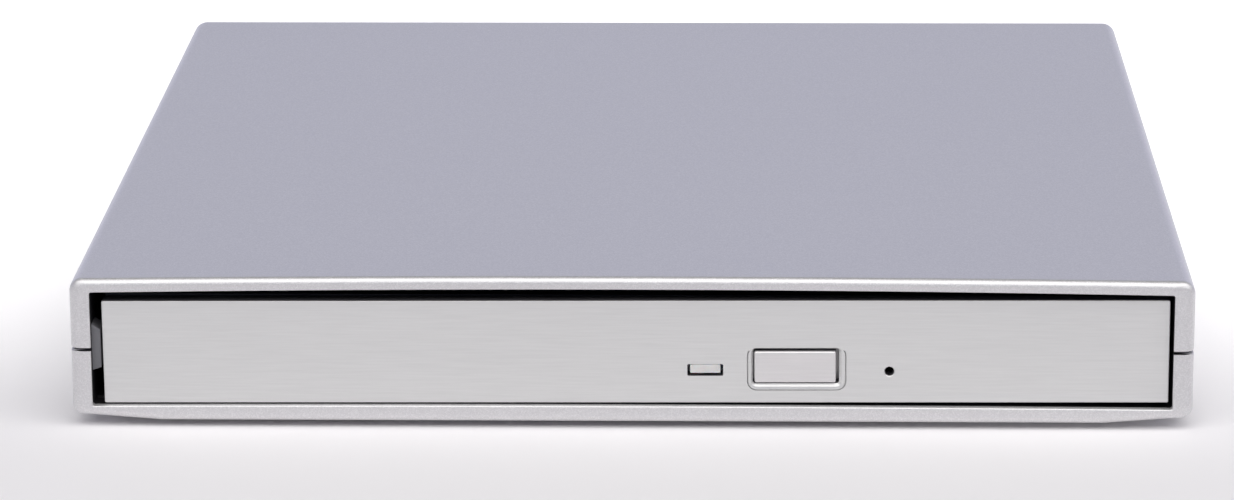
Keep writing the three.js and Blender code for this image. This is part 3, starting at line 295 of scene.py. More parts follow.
FINISHES = {
    "case_shell": silver_paint(),
    "bezel_face": brushed_plate("bezel_brushed", (223, 223, 222)),
    "button_face": brushed_plate("button_brushed", (227, 225, 225)),
    "light_pipe": light_pipe(),
    "sheet_steel": rolled_sheet("zinc_sheet", (172, 175, 178), 0.36),
    "bright_steel": turned_metal("bright_steel", (190, 192, 196), 0.24),
    "black_plastic": moulded("black_plastic", (24, 24, 26), 0.48),
    "tray_plastic": moulded("tray_plastic", (38, 39, 42), 0.5, 1300, 0.04),
    "trim_plate": rolled_sheet("grey_trim", (70, 72, 76), 0.42),
    "foot_rubber": moulded("foot_rubber", (30, 30, 31), 0.82, 1800, 0.05),
    "ring_rubber": moulded("disc_rubber", (24, 24, 25), 0.85, 2200, 0.04),
    "board": board_lacquer(),
    "chip": moulded("chip_resin", (26, 26, 28), 0.42, 2600, 0.02),
    "brass": turned_metal("brass", (186, 146, 82), 0.28),
    "copper_coil": winding_wire(),
    "ribbon": flat_cable(),
    "lens": clear_lens(),
    "sled_metal": moulded("sled_casting", (92, 94, 98), 0.4, 1200, 0.05),
}

# The bezel's body behind its face: partly its own dark plastic, partly painted shade for the gaps
# above and below the bezel.
BEZEL_CORE_AND_SHADE = moulded("bezel_core_and_shade", (94, 92, 96), 0.5)
# The side pad's grey, darker than the case's paint, partly as painted shade of the gap.
PAD_GREY_AND_SHADE = moulded("pad_grey_and_shade", (124, 124, 128), 0.7, 900, 0.08)
# The case's dark inside: partly bare plastic, partly painted shade of the hollow seen through the
# mouth.
CASE_LINING_AND_SHADE = moulded("case_lining_and_shade", (26, 24, 28), 0.6)
# The drive lid's sheet, dark as painted shade for the gap above the bezel, where light would otherwise
# reach it.
LID_PAINTED_SHADE = rolled_sheet("lid_painted_shade", (74, 76, 80), 0.5)

# Meshes


def placed(name, data):
    """A new object in the scene."""
    thing = bpy.data.objects.new(name, data)
    bpy.context.scene.collection.objects.link(thing)
    return thing


def modified(body, kind, **settings):
    modifier = body.modifiers.new(kind.lower(), kind)
    for name, value in settings.items():
        setattr(modifier, name, value)
    return modifier


def baked(body, *helpers):
    """The mesh that a body's modifiers make. The body and its helpers are removed."""
    bpy.context.view_layer.update()
    view = bpy.context.evaluated_depsgraph_get()
    done = bpy.data.meshes.new_from_object(body.evaluated_get(view))
    for used in (body, *helpers):
        bpy.data.objects.remove(used, do_unlink=True)
    return done


def mesh_of(form, name):
    mesh = bpy.data.meshes.new(name)
    form.to_mesh(mesh)
    form.free()
    return mesh


def finished(name, mesh, finish, angle=32):
    """A mesh as a piece at the origin, smooth but for its real edges, its large faces flat."""
    mesh.shade_smooth()
    mesh.set_sharp_from_angle(angle=math.radians(angle))
    body = placed("body", mesh)
    modified(body, "WEIGHTED_NORMAL", keep_sharp=True)
    mesh = baked(body)
    piece = placed(name, mesh)
    mesh.materials.clear()
    mesh.materials.append(FINISHES[finish])
    return piece


def backed(piece, material, limit=-0.35):
    """The bare plastic on every face that doesn't look to the front, dark also as painted shade for
    the gaps round the piece.
    """
    piece.data.materials.append(material)
    for face in piece.data.polygons:
        if face.normal.y > limit:
            face.material_index = 1
    return piece


def faces_of(points, faces, name, split=False):
    """A mesh from points in millimetres, with its faces turned outwards.

    Split, its faces of more than four corners become triangles, so that cuts in it stay closed.
    """
    form = bmesh.new()
    corners = [form.verts.new(Vector(point) * MM) for point in points]
    for face in faces:
        try:
            form.faces.new([corners[i] for i in face])
        except ValueError:
            pass
    bmesh.ops.remove_doubles(form, verts=form.verts, dist=1e-4 * MM)
    bmesh.ops.recalc_face_normals(form, faces=form.faces)
    if split:
        wide = [face for face in form.faces if len(face.verts) > 4]
        bmesh.ops.triangulate(form, faces=wide)
    return mesh_of(form, name)


def arc(x, z, radius, start, end, steps):
    angles = [start + (end - start) * k / steps for k in range(steps + 1)]
    return [(x + radius * math.cos(a), z + radius * math.sin(a)) for a in angles]


def circle(x, z, radius, steps=48):
    return arc(x, z, radius, 0, 4 * QUARTER, steps)[:-1]


def rounded(x, z, width, height, radius, steps=6):
    """A rounded rectangle in the XZ plane, anticlockwise from the lower right."""
    right, left = x + width / 2 - radius, x - width / 2 + radius
    high, low = z + height / 2 - radius, z - height / 2 + radius
    return (
        arc(right, low, radius, -QUARTER, 0, steps)
        + arc(right, high, radius, 0, QUARTER, steps)
        + arc(left, high, radius, QUARTER, 2 * QUARTER, steps)
        + arc(left, low, radius, 2 * QUARTER, 3 * QUARTER, steps)
    )


def lofted(stations):
    """A closed skin over rings of (x, z) points, each ring at its own y."""
    points = [(x, y, z) for y, ring in stations for x, z in ring]
    count = len(stations[0][1])
    faces = [list(range(count))[::-1]]
    for s in range(len(stations) - 1):
        for i in range(count):
            a, b = s * count + i, s * count + (i + 1) % count
            faces.append((a, b, b + count, a + count))
    faces.append([(len(stations) - 1) * count + i for i in range(count)])
    return faces_of(points, faces, "loft")


def prism(ring, front, back):
    return lofted([(front, ring), (back, ring)])


def box_mesh(low, high, radius=0.0, segments=2):
    """A block with all its edges rounded."""
    form = bmesh.new()
    bmesh.ops.create_cube(form, size=1)
    middle = [(a + b) / 2 * MM for a, b in zip(low, high)]
    size = [(b - a) * MM for a, b in zip(low, high)]
    place = Matrix.Translation(middle) @ Matrix.Diagonal(size + [1])
    bmesh.ops.transform(form, matrix=place, verts=form.verts)
    if radius:
        round_off = {"offset": radius * MM, "segments": segments, "profile": 0.5}
        bmesh.ops.bevel(form, geom=form.edges[:], affect="EDGES", **round_off)
    return mesh_of(form, "block")


def turned_mesh(profile, steps=96, centre=(0, 0)):
    """A closed (radius, z) profile turned about a vertical axis."""
    points, faces, rows = [], [], []
    for radius, z in profile:
        if radius < 1e-6:
            rows.append([len(points)] * steps)
            points.append((*centre, z))
            continue
        rows.append([len(points) + k for k in range(steps)])
        for k in range(steps):
            angle = 2 * math.pi * k / steps
            x, y = radius * math.cos(angle), radius * math.sin(angle)
            points.append((centre[0] + x, centre[1] + y, z))
    for low, high in zip(rows, rows[1:] + rows[:1]):
        for k in range(steps):
            face = []
            for corner in (low[k], low[(k + 1) % steps], high[(k + 1) % steps], high[k]):
                if corner not in face:
                    face.append(corner)
            if len(face) > 2:
                faces.append(face)
    return faces_of(points, faces, "turned")


def tube(radius, bore, low, high, centre):
    return turned_mesh([(bore, low), (radius, low), (radius, high), (bore, high)], 48, centre)


def carved(mesh, tools, operation="DIFFERENCE"):
    """A mesh with other closed meshes cut from it, or joined to it."""
    body = placed("body", mesh)
    helpers = [placed("tool", tool) for tool in tools]
    for helper in helpers:
        modified(body, "BOOLEAN", operation=operation, solver="EXACT", object=helper)
    return baked(body, *helpers)


def moved(mesh, matrix):
    mesh.transform(matrix)
    return mesh


def lifted(mesh, x, y, z):
    """A mesh moved by distances in millimetres."""
    return moved(mesh, Matrix.Translation(in_metres(x, y, z)))


def softened(mesh, radius, angle=40, segments=2):
    """A mesh with a small radius on each of its sharp edges."""
    body = placed("body", mesh)
    modified(
        body, "BEVEL", width=radius * MM, segments=segments, limit_method="ANGLE",
        angle_limit=math.radians(angle), miter_outer="MITER_ARC",
    )
    return baked(body)


def cad_form(node):
    """A merged copy of a CAD node's mesh, with its flat faces whole again."""
    form = bmesh.new()
    form.from_mesh(bpy.data.objects[node].data)
    bmesh.ops.remove_doubles(form, verts=form.verts, dist=2e-3 * MM)
    flat = math.radians(0.8)
    bmesh.ops.dissolve_limit(form, angle_limit=flat, verts=form.verts, edges=form.edges)
    return mesh_of(form, node)


def stand_for(piece, body, *nodes):
    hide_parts(*nodes)
    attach(piece, body)
    return piece


def eased(name, node, finish, body, radius, segments=2):
    """A piece with the form of a CAD node and a small round on its edges."""
    mesh = softened(cad_form(node), radius, segments=segments)
    return stand_for(finished(name, mesh, finish), body, node)


def in_metres(*values):
    return [value * MM for value in values]


def spot(node):
    """The lowest and highest corner of a CAD node, in millimetres."""
    return [[value / MM for value in corner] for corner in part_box(node)]


def between(low, high):
    return [(a + b) / 2 for a, b in zip(low, high)]


# Case shells

CROWN_SHARES = [1 - (k + 1) / 17 for k in range(16)]
LENGTH_SHARES = (0.1, 0.3, 0.5, 0.7, 0.9)
SIDE_STEPS = 10
SEAM_EASE = 0.14
MOUTH_EASE = 0.17
MOUTH_STEPS = (0, 0.5, 1, 1.5, 2)
CASE_SCREW_X = 59.488
CASE_SCREW_Y = 62.95
BOARD_SCREW_X = 44.0
BOARD_SCREW_Y = 65.5
BOSS_RADIUS = 2.4
BOSS_BORE = 1.15
BOSS_TOP = 6.05
BOARD_BOSS_TOP = 5.55
INLET_X = -30.0
INLET_Z = 8.8


def drawn_in(distance, radius):
    """How far a rounded edge has drawn in at a distance from its face."""
    if distance >= radius:
        return 0.0
    return radius - math.sqrt(max(0.0, radius ** 2 - (radius - distance) ** 2))


def fade(y):
    return (CASE_REAR - y) / CASE_DEPTH


def case_side(y):
    """Where the case's side lies at y, and how far its top has drawn in there."""
    ahead, behind = y - CASE_FRONT, CASE_REAR - y
    side = drawn_in(ahead, FRONT_RADIUS) + drawn_in(behind, REAR_RADIUS)
    top = drawn_in(ahead, BROW_RADIUS) + drawn_in(behind, SHOULDER_RADIUS)
    return CASE_HALF - side, top


def mirrored(right):
    return right + [(-x, z) for x, z in right[::-1]]


def crowned(half, z, rise):
    """Points from the side inwards, on a surface that rises towards the middle."""
    return [(half * share, z + rise * (1 - share ** 2)) for share in CROWN_SHARES]


def upper_outer(y):
    half, top = case_side(y)
    shoulder, radius = SHOULDER_Z - top, SHOULDER_RADIUS
    right = arc(half - SEAM_EASE, SEAM_TOP + SEAM_EASE, SEAM_EASE, -QUARTER, 0, 4)
    right += arc(half - radius, shoulder - radius, radius, 0, QUARTER, SIDE_STEPS)
    return mirrored(right + crowned(half - radius, shoulder, CROWN_RISE * fade(y)))


def lower_outer(y):
    half, top = case_side(y)
    right = arc(half - SEAM_EASE, SEAM_FOOT - SEAM_EASE, SEAM_EASE, QUARTER, 0, 4)
    keel = FOOT_HEIGHT + KEEL_RISE + top + KEEL_RADIUS
    right += arc(half - KEEL_RADIUS, keel, KEEL_RADIUS, 0, -QUARTER, SIDE_STEPS)
    right += [(half * KEEL_FLAT_SHARE * (1 - k / 16), FOOT_HEIGHT + top) for k in range(16)]
    return mirrored(right)


def upper_inner(y):
    ease = drawn_in(y - CASE_FRONT, MOUTH_EASE)
    half, roof, radius = CAVITY_HALF + ease, ROOF_Z + ease, MOUTH_RADIUS
    right = [(half, SEAM_TOP + step) for step in MOUTH_STEPS]
    right += arc(half - radius, roof - radius, radius, 0, QUARTER, SIDE_STEPS)
    return mirrored(right + crowned(half - radius, roof, ARCH_RISE * fade(y)))


def lower_inner(y):
    ease = drawn_in(y - CASE_FRONT, MOUTH_EASE)
    near = min(1.0, max(0.0, (CASE_FRONT + LIP_DEPTH + LIP_RISE - y) / LIP_RISE))
    half, floor, radius = CAVITY_HALF + ease, FLOOR_Z - ease - LIP_DROP * near, MOUTH_RADIUS
    right = [(half, SEAM_FOOT - step) for step in MOUTH_STEPS]
    right += arc(half - radius, floor + radius, radius, 0, -QUARTER, SIDE_STEPS)
    return mirrored(right + crowned(half - radius, floor, LIP_RISE * near))


def turn_in(start, radius, steps):
    """Places along y, from a face inwards, that draw a round edge."""
    return [start + radius * (1 - math.cos(QUARTER * k / steps)) for k in range(steps + 1)]


def shell_mesh(outer, inner):
    """One half of the case: its outside, its hollow, its front rim and its seam face."""
    ahead = turn_in(CASE_FRONT, FRONT_RADIUS, 10)
    behind = [CASE_REAR - (y - CASE_FRONT) for y in turn_in(CASE_FRONT, REAR_RADIUS, 12)]
    middle = [CASE_FRONT + CASE_DEPTH * share for share in LENGTH_SHARES]
    outer_ys = sorted(set(ahead + middle + behind))
    inner_ys = turn_in(CASE_FRONT, MOUTH_EASE, 4)
    inner_ys += [CASE_FRONT + step for step in (1, LIP_DEPTH, LIP_DEPTH + LIP_RISE)]
    inner_ys += middle[1:] + [CAVITY_REAR]
    points, faces = [], []

    def skin(ys, outline):
        rows = []
        for y in ys:
            ring = outline(y)
            rows.append([len(points) + i for i in range(len(ring))])
            points.extend((x, y, z) for x, z in ring)
        for low, high in zip(rows, rows[1:]):
            for i in range(len(low) - 1):
                faces.append((low[i], low[i + 1], high[i + 1], high[i]))
        return rows

    out_rows = skin(outer_ys, outer)
    in_rows = skin(inner_ys, inner)
    for i in range(len(out_rows[0]) - 1):
        faces.append((out_rows[0][i], out_rows[0][i + 1], in_rows[0][i + 1], in_rows[0][i]))
    faces.append(out_rows[-1])
    faces.append(in_rows[-1])
    right = [row[0] for row in out_rows] + [row[-1] for row in out_rows[::-1]]
    left = [row[-1] for row in in_rows] + [row[0] for row in in_rows[::-1]]
    faces.append(right + left)
    return faces_of(points, faces, "shell", split=True)


def seam_ring(seam, width, front, below, above, play):
    """A ring along the inside of the seam: one half's lip, or the other half's cut for it."""
    half, side = CAVITY_HALF + width, CAVITY_HALF + play
    wall = box_mesh(
        (-half, CASE_FRONT + front, seam - below), (half, CAVITY_REAR + width, SEAM_Z + above)
    )
    hollow = box_mesh((-side, CASE_FRONT - 2, seam - 3), (side, CAVITY_REAR + play, SEAM_Z + 3))
    return carved(wall, [hollow])


def inlet_cut():
    """The cable inlet's opening through the rear wall, with rounded corners."""
    return prism(rounded(INLET_X, INLET_Z, 8.6, 4.5, 0.5), CAVITY_REAR - 2, CASE_REAR + 2)


def shell(name, mesh, node):
    """Half of the case, with the dark inside that starts just behind the rim of its mouth, partly its
    bare plastic and partly painted shade of the hollow.
    """
    piece = finished(name, mesh, "case_shell")
    piece.data.materials.append(CASE_LINING_AND_SHADE)
    for face in piece.data.polygons:
        x, y, z = face.center / MM
        across = abs(x) < CAVITY_HALF + 1.35
        # The painted shade starts further in on the floor, so that the floor just inside the mouth
        # stays silver.
        start = 1.0 if z < FLOOR_Z + 0.3 else 0.3
        along = CASE_FRONT + start < y < CASE_REAR - 0.4
        if across and along and FLOOR_Z - 0.7 < z < ROOF_Z + 1:
            face.material_index = 1
    stand_for(piece, "case", node)


def top_shell():
    rebate = seam_ring(SEAM_TOP, width=1.2, front=0.9, below=2, above=1.5, play=-0.05)
    mesh = carved(shell_mesh(upper_outer, upper_inner), [rebate, inlet_cut()])
    shell("case_top", mesh, "top_shell")


def bottom_shell():
    """The lower half, with the lip along its seam, its screw bosses and their sunk bores."""
    added = [seam_ring(SEAM_FOOT, width=0.9, front=1.2, below=0.9, above=1.2, play=0.05)]
    bores = []
    sunk = [(0, -2), (2.9, -2), (2.9, 0.8), (2.2, 1.1), (2.2, 2.4), (1.1, 2.4), (1.1, 5), (0, 5)]
    for side in (-1, 1):
        corner = (side * CASE_SCREW_X, CASE_SCREW_Y)
        beside = (side * BOARD_SCREW_X, BOARD_SCREW_Y)
        for centre, top in ((corner, BOSS_TOP), (beside, BOARD_BOSS_TOP)):
            added.append(tube(BOSS_RADIUS, BOSS_BORE, FLOOR_Z - 0.5, top, centre))
        bores.append(turned_mesh(sunk, 64, corner))
    mesh = carved(shell_mesh(lower_outer, lower_inner), added, "UNION")
    shell("case_bottom", carved(mesh, bores + [inlet_cut()]), "bottom_shell")


def side_pad():
    """The grey pad on the left wall that keeps the drive in the middle of its mouth, its grey partly
    painted shade of the gap it sits in.
    """
    outline = [(-65.3, 6.75), (-64.0, 7.2), (-64.0, 11.9), (-64.55, 12.25), (-65.3, 12.75)]
    mesh = prism(outline, CASE_FRONT + 1.2, CASE_FRONT + 4.7)
    pad = finished("side_pad", softened(mesh, 0.15, 30, 3), "case_shell")
    # Grey darker than the case's paint, partly as painted shade of the gap.
    pad.data.materials[0] = PAD_GREY_AND_SHADE
    stand_for(pad, "case", "bottom_shell")


# Bezel, its window and the eject button

BUTTON_X = 19.41
SURROUND_X = 19.5
SURROUND_Z = -2.15
SLOT_X = 8.5
SLOT_Z = -2.33
SLOT_HEIGHT = 1.47
RELEASE_X = 30.65
RELEASE_Z = -2.53
CLIP_HEIGHTS = (7.1 - BEZEL_Z - 1.4, 7.1 - BEZEL_Z - 0.6)


def on_face(mesh):
    """Puts a form that is drawn about the bezel's middle in its place, with the bezel's lean."""
    place = Matrix.Translation(in_metres(DRIVE_SHIFT, 0, BEZEL_Z))
    return moved(mesh, place @ Matrix.Rotation(-BEZEL_TILT, 4, "Y"))


def edged_plate(x, z, width, height, corner, front, back, radius, steps=5):
    """A rounded plate along y, from front to back, with a round on its front edge."""
    stations = []
    for k in range(steps + 1):
        angle = QUARTER * k / steps
        inset = radius * (1 - math.sin(angle))
        y = front + radius * (1 - math.cos(angle))
        ring = rounded(x, z, width - 2 * inset, height - 2 * inset, max(corner - inset, 0.05))
        stations.append((y, ring))
    stations.append((back, rounded(x, z, width, height, corner)))
    return lofted(stations)


def sunk_form(*stations):
    """A form to cut from the bezel's face, of rings (depth, x, z, width, height, corner)."""
    return lofted([(BEZEL_FRONT + depth, rounded(*ring)) for depth, *ring in stations])


def bezel():
    """The front plate with its clips, the openings in it and the bevel round the button."""
    plate = edged_plate(0, -0.05, 128.4, 12.8, 0.2, BEZEL_FRONT, BEZEL_BACK, 0.13, 7)
    clips = []
    for middle in (-44.8, 44.8):
        near = (middle - 7.4, BEZEL_BACK - 1, CLIP_HEIGHTS[0])
        clips.append(box_mesh(near, (middle + 7.4, BEZEL_BACK + 3.7, CLIP_HEIGHTS[1]), 0.15))
    plate = carved(plate, clips, "UNION")
    through = (BEZEL_FRONT - 2, BEZEL_BACK + 2)
    slot = prism(rounded(SLOT_X, SLOT_Z, 4.33, SLOT_HEIGHT, 0.18), *through)
    hole = prism(rounded(BUTTON_X, -1.85, 10.39, 4.45, 0.3), *through)
    surround = sunk_form(
        (-0.1, SURROUND_X, SURROUND_Z, 11.8, 5.4, 1.1),
        (0.05, SURROUND_X, SURROUND_Z, 11.6, 5.22, 1.0),
        (0.1, 19.48, -2.06, 10.95, 4.8, 0.7),
        (0.34, BUTTON_X, -1.86, 10.42, 4.47, 0.35),
    )
    outer = sunk_form(
        (-0.1, SURROUND_X, SURROUND_Z, 12.06, 5.66, 1.2),
        (0.15, SURROUND_X, SURROUND_Z, 11.8, 5.4, 1.1),
    )
    inner = sunk_form(
        (-0.2, SURROUND_X, SURROUND_Z, 11.6, 5.2, 1.0),
        (0.3, SURROUND_X, SURROUND_Z, 11.8, 5.4, 1.1),
    )
    above = box_mesh((12, BEZEL_FRONT - 1, 0.1), (27, BEZEL_FRONT + 1, 3))
    groove = carved(outer, [inner, above])
    release = prism(circle(RELEASE_X, RELEASE_Z, 0.57), *through)
    rim = lofted([
        (BEZEL_FRONT - 0.1, circle(RELEASE_X, RELEASE_Z, 0.76)),
        (BEZEL_FRONT + 0.1, circle(RELEASE_X, RELEASE_Z, 0.56)),
    ])
    mesh = on_face(carved(plate, [slot, hole, surround, groove, release, rim]))
    # Its edges and back take the dark core, partly bare plastic and partly painted shade.
    piece = backed(finished("front_bezel", mesh, "bezel_face", 13), BEZEL_CORE_AND_SHADE)
    stand_for(piece, "tray", "bezel")


def light_window():
    """The pipe in its slot, and the collar that holds it behind the bezel."""
    top = SLOT_Z + SLOT_HEIGHT / 2 - 0.03
    low = top - 1.1
    middle = (top + low) / 2
    pipe = edged_plate(SLOT_X, middle, 3.66, 1.1, 0.14, BEZEL_FRONT, BEZEL_BACK + 1.3, 0.1)
    collar = box_mesh((5.335, STOP_FRONT, -3.565), (11.665, STOP_BACK, -1.095), 0.08)
    mesh = on_face(carved(pipe, [collar], "UNION"))
    stand_for(finished("light_window", mesh, "light_pipe"), "tray", "led_window")


def eject_button():
    """The cap, the ears that stop it behind the bezel and the stem that meets the switch."""
    front = BEZEL_FRONT - 0.1
    cap = edged_plate(19.31, -1.96, 9.8, 3.92, 0.22, front, BEZEL_BACK + 0.6, 0.26)
    ears = box_mesh((13.615, STOP_FRONT, -4.22), (25.005, STOP_BACK, -0.3), 0.08)
    stem = box_mesh((17.81, BEZEL_BACK, -2.71), (20.81, BEZEL_BACK + 1.6, -1.21), 0.08)
    mesh = on_face(carved(cap, [ears, stem], "UNION"))
    stand_for(finished("eject_key", mesh, "button_face", 28), "eject_button", "eject_button")


# Repeated forms


def open_tree(name, **sockets):
    """A new node tree with one geometry output and the named inputs."""
    tree = bpy.data.node_groups.new(name, "GeometryNodeTree")
    tree.interface.new_socket("Geometry", in_out="OUTPUT", socket_type="NodeSocketGeometry")
    for label, kind in sockets.items():
        tree.interface.new_socket(label, in_out="INPUT", socket_type="NodeSocket" + kind)
    return tree, tree.nodes.new("NodeGroupInput").outputs


def close_tree(tree, geometry, material):
    whole = put(tree, "GeometryNodeRealizeInstances", {"Geometry": geometry}).outputs["Geometry"]
    painted = put(tree, "GeometryNodeSetMaterial", {"Geometry": whole, "Material": material})
    put(tree, "NodeGroupOutput", {"Geometry": painted.outputs["Geometry"]})
    return tree


def result(tree, operation, first, second=0.0):
    """A math node's result for two values, each a socket or a number."""
    return put(tree, "ShaderNodeMath", {0: first, 1: second}, operation=operation).outputs[0]


def copied(tree, given, points, turn):
    """Closes a tree with copies of its form on points."""
    form = put(tree, "GeometryNodeObjectInfo", {"Object": given["Form"]}).outputs["Geometry"]
    spread = {"Points": points, "Instance": form, "Rotation": turn}
    copies = put(tree, "GeometryNodeInstanceOnPoints", spread)
    return close_tree(tree, copies.outputs["Instances"], given["Finish"])


def row_tree():
    """Copies of a form in a straight row."""
    tree, given = open_tree(
        "row", Form="Object", Count="Int", Start="Vector", Step="Vector", Turn="Rotation",
        Finish="Material",
    )
    run = {"Count": given["Count"], "Start Location": given["Start"], "Offset": given["Step"]}
    line = put(tree, "GeometryNodeMeshLine", run, mode="OFFSET")
    return copied(tree, given, line.outputs["Mesh"], given["Turn"])


def ring_tree():
    """Copies of a form turned evenly about the upright axis at the origin."""
    tree, given = open_tree("ring", Form="Object", Count="Int", Start="Float", Finish="Material")
    run = {"Count": given["Count"], "Offset": (0, 0, 0)}
    line = put(tree, "GeometryNodeMeshLine", run, mode="OFFSET").outputs["Mesh"]
    index = put(tree, "GeometryNodeInputIndex").outputs[0]
    step = result(tree, "DIVIDE", 2 * math.pi, given["Count"])
    angle = result(tree, "ADD", result(tree, "MULTIPLY", index, step), given["Start"])
    facing = put(tree, "ShaderNodeCombineXYZ", {"Z": angle}).outputs[0]
    return copied(tree, given, line, facing)


def coil_tree():
    """Round wire wound about an upright axis."""
    tree, given = open_tree(
        "coil", Turns="Float", Radius="Float", Height="Float", Wire="Float", Steps="Int",
        Sides="Int", Finish="Material",
    )
    winding = {
        "Resolution": given["Steps"],
        "Rotations": given["Turns"],
        "Start Radius": given["Radius"],
        "End Radius": given["Radius"],
        "Height": given["Height"],
    }
    spiral = put(tree, "GeometryNodeCurveSpiral", winding).outputs["Curve"]
    strand = {"Resolution": given["Sides"], "Radius": given["Wire"]}
    section = put(tree, "GeometryNodeCurvePrimitiveCircle", strand).outputs["Curve"]
    along = {"Curve": spiral, "Profile Curve": section, "Fill Caps": True}
    wire = put(tree, "GeometryNodeCurveToMesh", along)
    return close_tree(tree, wire.outputs["Mesh"], given["Finish"])


TREES = {"row": row_tree(), "ring": ring_tree(), "coil": coil_tree()}


def grown(kind, finish, form=None, **values):
    """The plain mesh that one of the trees makes from these sizes."""
    tree = TREES[kind]
    host = placed("host", bpy.data.meshes.new("host"))
    modifier = modified(host, "NODES", node_group=tree)
    values["Finish"] = FINISHES[finish]
    helpers = []
    if form is not None:
        helpers = [placed("form", form)]
        values["Form"] = helpers[0]
    for item in tree.interface.items_tree:
        if item.in_out == "INPUT" and item.name in values:
            modifier[item.identifier] = values[item.name]
    whole = bmesh.new()
    whole.from_mesh(baked(host, *helpers))
    bmesh.ops.recalc_face_normals(whole, faces=whole.faces)
    return mesh_of(whole, kind)


def in_row(finish, form, count, start, step, turn=(0, 0, 0)):
    """A row of equal forms, its start and its step in millimetres."""
    start, step = in_metres(*start), in_metres(*step)
    return grown("row", finish, form, Count=count, Start=start, Step=step, Turn=turn)


def wound(finish, turns, radius, height, wire, steps, sides):
    """A coil of round wire, its radius, height and wire in millimetres."""
    radius, height, wire = in_metres(radius, height, wire)
    sizes = {"Turns": turns, "Radius": radius, "Height": height, "Wire": wire}
    return grown("coil", finish, Steps=steps, Sides=sides, **sizes)


def together(*meshes):
    """One mesh with all the faces of several."""
    form = bmesh.new()
    for mesh in meshes:
        form.from_mesh(mesh)
    return mesh_of(form, "whole")


# Feet and screws


def feet():
    """Four turned rubber feet with a dished sole and a grip ring."""
    profile = [(0, 0.14), (2.5, 0.14), (2.75, 0.02), (3.1, 0.02), (3.3, 0.12), (3.6, 0.12)]
    profile += [(3.8, 0.0), (4.1, 0.0), (4.36, 0.08), (4.5, 0.26)]
    profile += [(4.5, FOOT_HEIGHT), (0, FOOT_HEIGHT)]
    foot = turned_mesh(profile, 64)
    first, last = between(*spot("rubber_foot_1")), between(*spot("rubber_foot_4"))
    step = (0, last[1] - first[1], 0)
    rows = [in_row("foot_rubber", foot.copy(), 2, (x, first[1], 0), step) for x in (first[0], last[0])]
    names = ["rubber_foot_%d" % k for k in (1, 2, 3, 4)]
    stand_for(finished("rubber_feet", together(*rows), "foot_rubber"), "case", *names)


def screw_form(length):
    """A pan-head screw with a cross recess and a cut thread, its head's face at the origin."""
    profile = [(0, 0.0), (1.2, 0.0), (1.6, 0.12), (1.84, 0.38), (1.9, 0.7), (1.9, 1.0), (0.74, 1.0)]
    profile += [(0.74, length - 0.5), (0.4, length), (0, length)]
    recess = []
    for turn in (0, QUARTER):
        slot = box_mesh((-1.15, -0.24, -1), (1.15, 0.24, 0.5), 0.06)
        recess.append(moved(slot, Matrix.Rotation(turn, 4, "Z")))
    body = carved(turned_mesh(profile, 48), recess)
    cut = length - 2.0
    thread = wound("bright_steel", max(2, cut / 0.55), 0.72, cut, 0.075, 14, 5)
    return together(body, lifted(thread, 0, 0, 1.3))


def screw_pair(name, axis, flipped):
    """Two alike screws along z or y, seated where their CAD nodes are."""
    nodes = ["%s_screw_%d" % (name, k) for k in (1, 2)]
    boxes = [spot(node) for node in nodes]
    form = screw_form(boxes[0][1][axis] - boxes[0][0][axis])
    places = []
    for low, high in boxes:
        place = between(low, high)
        place[axis] = high[axis] if flipped else low[axis]
        places.append(place)
    if axis == 1:
        turn = (QUARTER, 0, 0)
    else:
        turn = (2 * QUARTER, 0, 0) if flipped else (0, 0, 0)
    step = [b - a for a, b in zip(*places)]
    mesh = in_row("bright_steel", form, 2, places[0], step, turn)
    stand_for(finished(name + "_screws", mesh, "bright_steel"), "case", *nodes)


def screws():
    screw_pair("case", 2, False)
    screw_pair("board", 2, True)
    screw_pair("cover", 1, True)


# Cable inlet


def cable_inlet():
    """The inlet's folded metal mouth and its tongue with five flat contacts."""
    eased("inlet_mouth", "usb_inlet_shell", "bright_steel", "case", 0.28, segments=3)
    low, high = spot("usb_inlet_tongue")
    tongue = box_mesh(low, high, 0.14, 3)
    stand_for(finished("inlet_tongue", tongue, "black_plastic"), "case", "usb_inlet_tongue")
    margin, count = 0.6, 5
    strip = box_mesh((-0.2, low[1] + 0.5, -0.05), (0.2, high[1] - 0.45, 0.03), 0.02)
    step = ((high[0] - low[0] - 2 * margin) / (count - 1), 0, 0)
    contacts = [
        in_row("brass", strip.copy(), count, (low[0] + margin, 0, level), step)
        for level in (low[2], high[2])
    ]
    piece = finished("inlet_contacts", together(*contacts), "brass")
    stand_for(piece, "case", "usb_inlet_tongue")


# Drive frame


def drive_frame():
    lid = eased("drive_lid", "drive_cover", "sheet_steel", "case", 0.18)
    # The lid is made dark as painted shade, standing for the shade in the gap above the bezel.
    lid.data.materials[0] = LID_PAINTED_SHADE
    for side in ("left", "right"):
        eased("guide_" + side, "rail_guide_" + side, "black_plastic", "case", 0.3)
    for side in ("left", "right"):
        eased("runner_" + side, "rail_" + side, "sheet_steel", "rail_" + side, 0.2)


# Tray and what it carries


def tray_form():
    """The tray, with a fine step ring for small discs and softened edges."""
    section = [(39.7, 10.8), (40.6, 10.8), (40.8, 11.6), (39.5, 11.6)]
    groove = turned_mesh(section, 160, HUB_PLACE)
    mesh = softened(carved(cad_form("tray"), [groove]), 0.25, 38, 3)
    stand_for(finished("disc_tray", mesh, "tray_plastic"), "tray", "tray")


def under_tray():
    eased("underplate", "tray_underplate", "sheet_steel", "tray", 0.12)
    eased("trim", "mechanism_trim", "trim_plate", "tray", 0.14, segments=3)
    eased("chassis", "mechanism_chassis", "sheet_steel", "tray", 0.2)
    eased("stepper", "stepper_motor", "sheet_steel", "tray", 0.2)
    eased("stator", "spindle_stator", "copper_coil", "tray", 0.15)
    eased("solenoid", "eject_solenoid", "copper_coil", "tray", 0.2)


